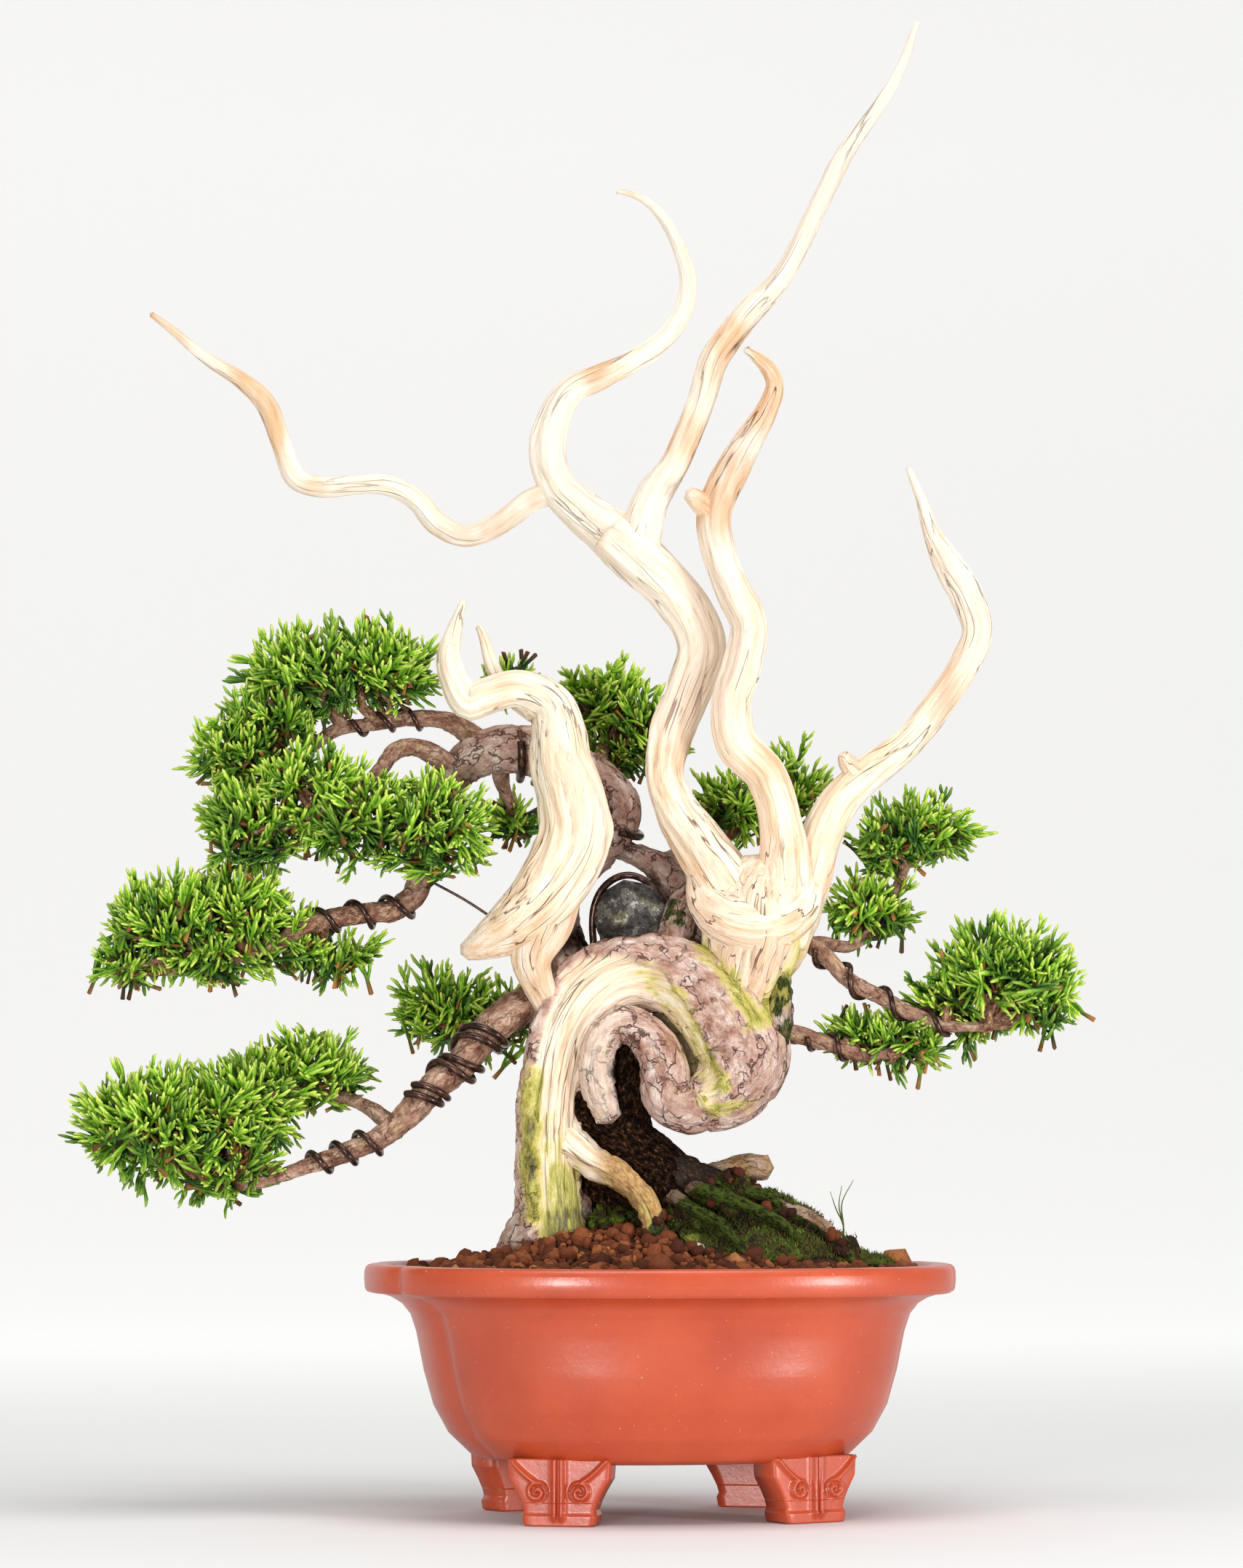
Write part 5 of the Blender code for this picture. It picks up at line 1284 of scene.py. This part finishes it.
# %% Clay material
def clay_look(tree):
    where = own_place(tree)
    cloud = noise_node(where, 26, 4, 0.6)
    fine = noise_node(where, 620, 3, 0.6)
    dark = band(noise_node(where, 1100, 2, 0.5), 0.70, 0.76)
    light = band(noise_node(stretched(where, (1, 1, 1), (5, 3, 8)), 900, 2, 0.5), 0.72, 0.78)
    body = ramp(cloud, (0.3, (171, 63, 31)), (0.5, (182, 71, 36)), (0.72, (193, 81, 44)))
    for mask, colour in ((fine * 0.3, (164, 58, 32)), (dark * 0.6, (96, 44, 34)),
                         (light * 0.5, (238, 190, 164))):
        body = blend(mask, body, colour)
    return dict(Base_Color=body, Roughness=ramp(cloud, (0.3, 3 * (148,)), (0.7, 3 * (158,))),
                Specular_IOR_Level=0.6, bump=(fine + cloud, 0.00012, 0.5))


CLAY = new_material("satin_clay", clay_look)
pot = make_piece("clay_pot", pot_skin(), CLAY, ["pot"], turn=0)

# %% [markdown]
# Drain holes
#
# Two holes go through the floor. They are cut with cylinders in one Boolean that is applied, so the
# piece keeps no modifier.


# %% Drain holes
def cut_holes(piece, centres, radius, low, high):
    """Subtract upright cylinders, apply, and throw the cutter away."""
    turn = circle(48)
    spoke = radius * np.column_stack([np.cos(turn), np.sin(turn), 0 * turn])
    ends = [np.array([(x, y, low), (x, y, high)], float) for x, y in centres]
    both = stack([closed(pair[:, None] + spoke, pair) for pair in ends])
    cutter = put("cutter", new_mesh("cutter", place(both["points"], 0), both))
    step = piece.modifiers.new("holes", "BOOLEAN")
    step.object, step.operation, step.solver = cutter, "DIFFERENCE", "EXACT"
    depsgraph = bpy.context.evaluated_depsgraph_get()
    done = bpy.data.meshes.new_from_object(piece.evaluated_get(depsgraph))
    piece.modifiers.clear()
    piece.data = done
    bpy.data.objects.remove(cutter)
    done.set_sharp_from_angle(angle=math.radians(50))
    print(piece.name, "now has", len(done.polygons), "faces")


cut_holes(pot, [(-30, 0), (30, 0)], 8.0, 15, 32)

# %% [markdown]
# Bracket feet
#
# Each foot is a bracket that widens upwards into the wall, with a doubled upright ridge in the middle
# and a scroll on either side. Level slices are stacked from the ground up; the outer face of each
# slice is pushed out by the carving, which is a height that depends on the place on the face.

# %% Feet
FOOT_X, FOOT_Y = 42.0, 36.5
FOOT_TURN = math.radians(22)
FOOT_DEPTH = 12.0
FOOT_OUTLINE = [(11.6, 0.0), (12.2, 0.5), (12.7, 3.4), (11.9, 5.0), (12.7, 7.6), (14.4, 11.0), (17.0, 15.4),
                (17.4, 21.6), (16.8, 22.2)]
SCROLL_X, SCROLL_Z = 7.2, 11.2


def foot_carving(x, z):
    """Twin ridge + spiral scrolls + the arm that rises from each scroll to the upper corner + base band."""
    side = np.abs(x)
    ridge = 2.1 * np.exp(-((side - 1.2) / 0.72) ** 4) + 0.6 * np.exp(-(side / 2.6) ** 4)
    out, up = side - SCROLL_X, z - SCROLL_Z
    away = np.hypot(out, up)
    spiral = 0.5 + 0.5 * np.cos(np.arctan2(up, out) - away * 2.5 + 0.6)
    scroll = (1 - smooth_step(3.3, 3.9, away)) * (0.3 + 1.7 * smooth_step(0.25, 0.7, spiral))
    arm_line = 2.8 + 0.55 * out + 0.035 * out ** 2
    arm = 1.9 * np.exp(-((up - arm_line) / 0.95) ** 4) * smooth_step(-2, 1, out)
    return ridge * smooth_step(1, 4, z) + np.maximum(scroll, arm) + 1 - smooth_step(3.2, 4.2, z)


def foot_skin(side_x, side_y, columns=72, rear_columns=9):
    """Slices of the outline, front face raised by the carving, turned to follow the pot's wall."""
    width, height = np.array(FOOT_OUTLINE).T
    z = np.unique(np.concatenate([height, np.arange(0, 22, 0.4)]))[:, None]
    half = np.interp(z, height, width)
    across = np.linspace(-1, 1, columns)
    edge = np.sqrt(np.clip(1 - np.abs(across) ** 16, 0, 1))
    front = -FOOT_DEPTH / 2 - (foot_carving(half * across, z) + 0.8) * edge + 0.8
    rear = np.full((len(z), rear_columns), FOOT_DEPTH / 2)
    x = half * np.concatenate([across, np.linspace(1, -1, rear_columns)])
    grid = np.stack([x, np.hstack([front, rear]), z + 0 * x], axis=-1)
    skin = closed(grid, [(0, 0, 0), (0, 0, z[-1, 0])])
    yaw = (math.pi if side_y > 0 else 0) + FOOT_TURN * side_x * -side_y
    x, y, z = skin["points"].T
    x, y = turned(x, y, yaw)
    skin["points"] = np.column_stack([x + side_x * FOOT_X, y + side_y * FOOT_Y, z])
    return skin


DEPTH_WORDS, SIDE_WORDS = {-1: "front", 1: "back"}, {-1: "left", 1: "right"}
for side_y, side_x in product(DEPTH_WORDS, SIDE_WORDS):
    name = f"foot_{DEPTH_WORDS[side_y]}_{SIDE_WORDS[side_x]}"
    make_piece("carved_" + name, foot_skin(side_x, side_y), CLAY, [name], turn=0)

# %% [markdown]
# Clay grains
#
# The tree grows in baked clay grains, reddish brown and two to five millimetres across. The packed
# soil stays as the ground, with a dark crumbly finish, and about 1,500 rounded lumps lie on it.


# %% Soil and its looks
MOSS_CENTRE, MOSS_HALF = (39.0, 0.0), (46.0, 28.0)


def soil_height(x, y):
    """Mounded at the trunk, higher again under the moss; x and y as the pot has them."""
    mound = 14.0 * np.exp(-((x + 18) / 42) ** 2 - ((y - 2) / 34) ** 2)
    return 82.0 + mound + 20.0 * np.exp(-((x - 38) / 26) ** 2 - ((y + 6) / 22) ** 2)


def moss_reach(x, y):
    """Below 1 under the moss; x and y as the pot has them."""
    x, y = turned(x, y, -TREE_TURN)
    return np.hypot((x - MOSS_CENTRE[0]) / MOSS_HALF[0], (y - MOSS_CENTRE[1]) / MOSS_HALF[1])


def pitted(tree, body):
    """Dull clay with small dark pits, over a base colour."""
    fine = noise_node(own_place(tree), 700, 4, 0.65)
    return dict(Base_Color=blend(band(fine, 0.45, 0.7) * 0.45, body, (58, 34, 24)), Roughness=0.93,
                Specular_IOR_Level=0.2, bump=(fine, 0.0006, 0.8))


def ground_look(tree):
    """Dark crumbly ground."""
    coarse = noise_node(own_place(tree), 260, 4, 0.7)
    return pitted(tree, ramp(coarse, (0.35, (34, 20, 15)), (0.6, (84, 48, 32))))


def grain_look(tree):
    """Brown clay grains; the tone value picks dark, reddish, ochre or a pale pumice."""
    return pitted(tree, ramp(attribute(tree, "tone"), (0.0, (48, 24, 16)), (0.3, (92, 46, 26)),
                             (0.6, (124, 66, 38)), (0.85, (160, 98, 56)), (0.93, (176, 128, 84)),
                             (0.97, (206, 196, 180))))


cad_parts["soil"].material_slots[0].material = new_material("soil_ground", ground_look)
print("soil height at the trunk", round(float(soil_height(-18.0, 2.0)), 1), "mm")

# %% [markdown]
# Grains on the soil
#
# Grains lie on a shaken net of triangles, so that they never line up and never leave a hole. Each one
# is the same little ball, squashed and roughened by its own random numbers.


# %% Grains
def lump(rings, sides):
    """Unit ball as a small closed grid."""
    a, b = np.meshgrid(circle(sides), np.pi * (np.arange(rings) + 0.8) / (rings + 0.6))
    ball = np.stack([np.sin(b) * np.cos(a), np.sin(b) * np.sin(a), -np.cos(b)], axis=-1)
    return closed(ball, [(0, 0, -1), (0, 0, 1)])


LUMP = lump(4, 7)


def crumbs(centre, size, tone, draw):
    """A rough squashed ball at each centre: centre + size * squash * (1 + noise) * unit ball."""
    ball = LUMP["points"]
    rough = 1 + 0.45 * noise(ball[None] * 1.5 + centre[:, None] * 3.1, 8)
    squash = draw.uniform(0.75, 1.2, (len(centre), 1, 3))
    points = centre[:, None] + ball[None] * (rough[..., None] * size[:, None, None]) * squash
    return repeated(LUMP, points, tone=np.repeat(tone, len(ball)))


def scatter_grains(spacing, seed):
    """Rounded lumps on a shaken hexagonal net over the soil, kept off the moss and inside the wall."""
    draw = np.random.default_rng(seed)
    i, j = np.meshgrid(np.arange(-30, 31), np.arange(-30, 31))
    flat = np.column_stack([((i + 0.5 * (j % 2)) * spacing).ravel(), (j * spacing * 0.87).ravel()])
    flat += draw.uniform(-0.32, 0.32, flat.shape) * spacing
    wall = (np.abs(flat / INNER_HALF / (1, DEPTH_RATIO)) ** OVAL_POWER).sum(axis=1)
    x, y = flat[(wall < 1) & (moss_reach(*flat.T) > 0.88)].T
    size = draw.gamma(7, 0.26, len(x))
    centre = np.column_stack([x, y, soil_height(x, y) + 0.25 * size + draw.uniform(-0.5, 0.8, len(x))])
    return crumbs(centre, size, draw.beta(2, 2.6, len(x)) + 0.3 * (draw.random(len(x)) > 0.965), draw)


GRAINS = new_material("clay_grain", grain_look)
make_piece("clay_grains", scatter_grains(3.5, 21), GRAINS, turn=0)

# %% [markdown]
# Moss
#
# A cushion of moss covers the soil on the right. It is a bumpy skin with thousands of short pointed
# tufts on it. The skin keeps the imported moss's outline; the tufts break up its edge.


# %% Moss cushion
SPIKE = {"quads": np.zeros((0, 4), int), "tris": np.array([(0, 1, 3), (1, 2, 3), (2, 0, 3), (0, 2, 1)])}


def moss_look(tree):
    where = own_place(tree)
    fine = noise_node(where, 900, 3, 0.6)
    body = ramp(noise_node(where, 130, 5, 0.75), (0.43, (34, 23, 15)), (0.49, (76, 52, 31)),
                (0.52, (50, 60, 20)), (0.60, (98, 114, 34)), (0.69, (164, 164, 72)))
    body = blend(attribute(tree, "tip") * 0.35, body, (142, 158, 58))
    return dict(Base_Color=blend(fine * 0.35, body, (26, 30, 12)), Roughness=0.9, Specular_IOR_Level=0.2,
                bump=(fine, 0.0008, 0.9))


def moss_top(share, turn):
    """The cushion's surface at a share of its reach and a direction."""
    reach = share * (1 + 0.10 * np.sin(3 * turn + 0.6) + 0.06 * np.sin(7 * turn)) / 1.16
    x, y = turned(MOSS_CENTRE[0] + MOSS_HALF[0] * reach * np.cos(turn),
                  MOSS_CENTRE[1] + MOSS_HALF[1] * reach * np.sin(turn), TREE_TURN)
    flat = np.stack([x, y, 0 * x], axis=-1)
    rough = 1 + 0.4 * noise(flat * 0.16, 4) + 0.25 * noise(flat * 0.5, 6)
    thick = 4.2 * np.sqrt(np.clip(1 - (share / 1.02) ** 2, 0, 1)) * rough
    return np.stack([x, y, soil_height(x, y) + 0.9 + thick], axis=-1)


def moss_cushion():
    """Polar grid of the cushion's top, closed by an underside just under the soil's surface."""
    share = np.concatenate([np.full(3, 1.0), np.linspace(1.0, 0.04, 42)])
    a, b = np.meshgrid(circle(150), share)
    grid = moss_top(b, a)
    grid[:3, :, 2] = soil_height(grid[:3, :, 0], grid[:3, :, 1]) + np.array([-1.2, -0.6, 0.0])[:, None]
    low = (grid[0, :, 0].mean(), grid[0, :, 1].mean(), 84.0)
    return closed(grid, [low, grid[-1].mean(axis=0)], tip=np.zeros(grid[..., 0].size + 2))


def spikes(root, draw):
    """A ring of three points round each root and a tip at 1.4 to 3.2 mm along a leaning direction."""
    count = len(root)
    aim = unit(UP + 0.45 * draw.normal(size=(count, 3)))
    u = unit(np.cross(aim, (0.9, 0.1, 0.2)))
    width, tall = draw.uniform(0.25, 0.5, count), draw.uniform(1.4, 3.2, count)
    ring = root[:, None] + width[:, None, None] * around(circle(3), u, np.cross(aim, u))
    tip = root + aim * tall[:, None]
    return repeated(SPIKE, np.concatenate([ring, tip[:, None]], axis=1), tip=np.tile([0, 0, 0, 1.0], count))


def moss_tufts(count, seed):
    """Three-sided spikes spread over the cushion by area."""
    draw = np.random.default_rng(seed)
    share, turn = np.sqrt(draw.random(count)) * 1.03, draw.uniform(0, 2 * np.pi, count)
    return spikes(moss_top(np.minimum(share, 1.0), turn) - (0, 0, 0.6), draw)


MOSS = new_material("moss_cushion", moss_look)
make_piece("moss_bed", stack([moss_cushion(), moss_tufts(7000, 31)]), MOSS, ["moss"], turn=0)

# %% [markdown]
# Moss, crumbs and grass on the roots
#
# The roots that run under the moss wear clumps of it where their moss mask is high, and crumbs of clay
# where a noise leaves gaps between the clumps. Three blades of grass stand at the edge.

# %% Growth on the roots
draw = np.random.default_rng(77)
CLUMPS, BITS = 260, 240


def root_points(least_moss, lowest):
    """Points of the roots with enough moss and height, and the patch noise that sorts them."""
    points = np.vstack([skin["points"][skin["moss"] > least_moss] for skin in roots.values()])
    points = points[points[:, 2] > lowest]
    return points, layered(points * 0.12, 3, 2)


def pick(points, count):
    return points[draw.integers(0, len(points), count)]


grown, patch = root_points(0.55, 88)
grown = grown[patch > -0.05]
clumps = crumbs(pick(grown, CLUMPS), draw.uniform(1.2, 3.2, CLUMPS), np.zeros(CLUMPS), draw)
clumps["tip"] = clumps.pop("tone")
near = np.vstack([pick(grown, 2600), pick(clumps["points"], 4200)])
tufts = spikes(near + draw.normal(0, 0.4, near.shape), draw)
make_piece("moss_on_roots", stack([clumps, tufts]), MOSS)
bare, patch = root_points(0.4, 90)
bits_at = pick(bare[patch < 0.1], BITS)
bits = crumbs(bits_at, draw.uniform(0.7, 2.3, BITS), draw.uniform(-0.1, 0.4, BITS), draw)
make_piece("bits_on_roots", bits, GRAINS)
blades = [limb([(62, -9, 90, 0.35), (62.5, -9, 99, 0.3), (61 + k, -8, 106 + k, 0.22),
                (62 + 4 * k, -8, 113 + 2 * k, 0.1)], 1.5, 5, no_relief, 1) for k in (-1, 0, 1)]
grass = stack(blades)
grass["tip"] = np.full(len(grass["points"]), 0.8)
make_piece("grass_blades", grass, MOSS)

# %% [markdown]
# Drain mesh
#
# A plastic mesh covers each drain hole inside the pot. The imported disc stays, and its finish draws the
# square net as two crossed waves.


# %% Drain mesh finish
def net_look(tree):
    where = own_place(tree)
    waves = [add(tree, "TexWave", "Fac", Scale=120.0, bands_direction=axis, Vector=where) for axis in "XY"]
    net = calculated(tree, "Math", "MAXIMUM", *waves)
    return dict(Base_Color=ramp(net, (0.55, (12, 12, 12)), (0.8, (58, 58, 60))), Roughness=0.55,
                bump=(net, 0.0004, 0.8))


NET = new_material("drain_mesh", net_look)
for side in ("left", "right"):
    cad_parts["drain_mesh_" + side].material_slots[0].material = NET
print("drain meshes dressed")

# %% [markdown]
# Floor, backdrop and light
#
# The photograph has a nearly white table and backdrop and very soft light. One large sheet runs flat
# under the pot, curves up far behind it and glows a little there. Two small soft boxes stand near the
# floor, where the pot's wall mirrors them as two faint upright sheens, and a broad one above and the
# white world around fill the shadows.


# %% Stage
FLOOR_END, BEND, WALL_TOP = 3.2, 1.4, 7.0         # metres
STRIPS = 8
SOFT_BOXES = {                                    # place, aim, size and watts
    "left_box": ((-0.385, -0.81, 0.085), (-0.03, 0, 0.07), (0.10, 0.16), 3.6),
    "right_box": ((0.60, -0.65, 0.085), (0.05, 0, 0.07), (0.10, 0.16), 3.6),
    "top_box": ((0, -0.6, 1.7), (0, 0, 0.2), (1.4, 1.0), 18.5),
}


def paper_look(tree):
    """Pale paper that glows more the further back it lies."""
    far = add(tree, "SeparateXYZ", "Y", Vector=own_place(tree))
    return dict(Base_Color=(0.78, 0.78, 0.78, 1), Roughness=0.9, Emission_Color=(1.0, 0.99, 0.97, 1),
                Emission_Strength=band(far, 0.0, 1.6) * 0.40)


def backdrop():
    """Profile of a floor that bends up through a quarter circle, carried sideways."""
    floor = np.column_stack([np.linspace(-6.0, FLOOR_END, 16), np.zeros(16)])
    bend = np.linspace(0, np.pi / 2, 16)[1:]
    curve = np.column_stack([FLOOR_END + BEND * np.sin(bend), BEND - BEND * np.cos(bend)])
    profile = np.vstack([floor, curve, [(FLOOR_END + BEND, WALL_TOP)]])
    count = len(profile)
    x, t = np.meshgrid(np.linspace(-6, 6, STRIPS + 1), np.arange(count), indexing="ij")
    points = np.stack([x, profile[t, 0], profile[t, 1] - 0.0002], axis=-1).reshape(-1, 3)
    i, j = np.meshgrid(np.arange(STRIPS), np.arange(count - 1), indexing="ij")
    k = i * count + j
    quads = np.stack([k, k + count, k + count + 1, k + 1], axis=-1).reshape(-1, 4)
    sheet = put("backdrop", new_mesh("backdrop", points, {"quads": quads, "tris": np.zeros((0, 3), int)}))
    sheet.data.materials.append(new_material("paper_backdrop", paper_look))


def soft_box(name, where, aim, size, power):
    light = bpy.data.lights.new(name, "AREA")
    light.shape = "RECTANGLE"
    light.size, light.size_y = size
    light.energy = power
    box = put(name, light)
    box.location = where
    box.rotation_euler = (Vector(aim) - Vector(where)).to_track_quat("-Z", "Y").to_euler()


backdrop()
for name, settings in SOFT_BOXES.items():
    soft_box(name, *settings)
world = bpy.data.worlds.new("studio")
world.use_nodes = True
world.node_tree.nodes["Background"].inputs["Color"].default_value = (1, 1, 1, 1)
world.node_tree.nodes["Background"].inputs["Strength"].default_value = 0.5
bpy.context.scene.world = world
bpy.context.scene.view_settings.view_transform = "Standard"
print("stage and", len(SOFT_BOXES), "soft boxes ready")
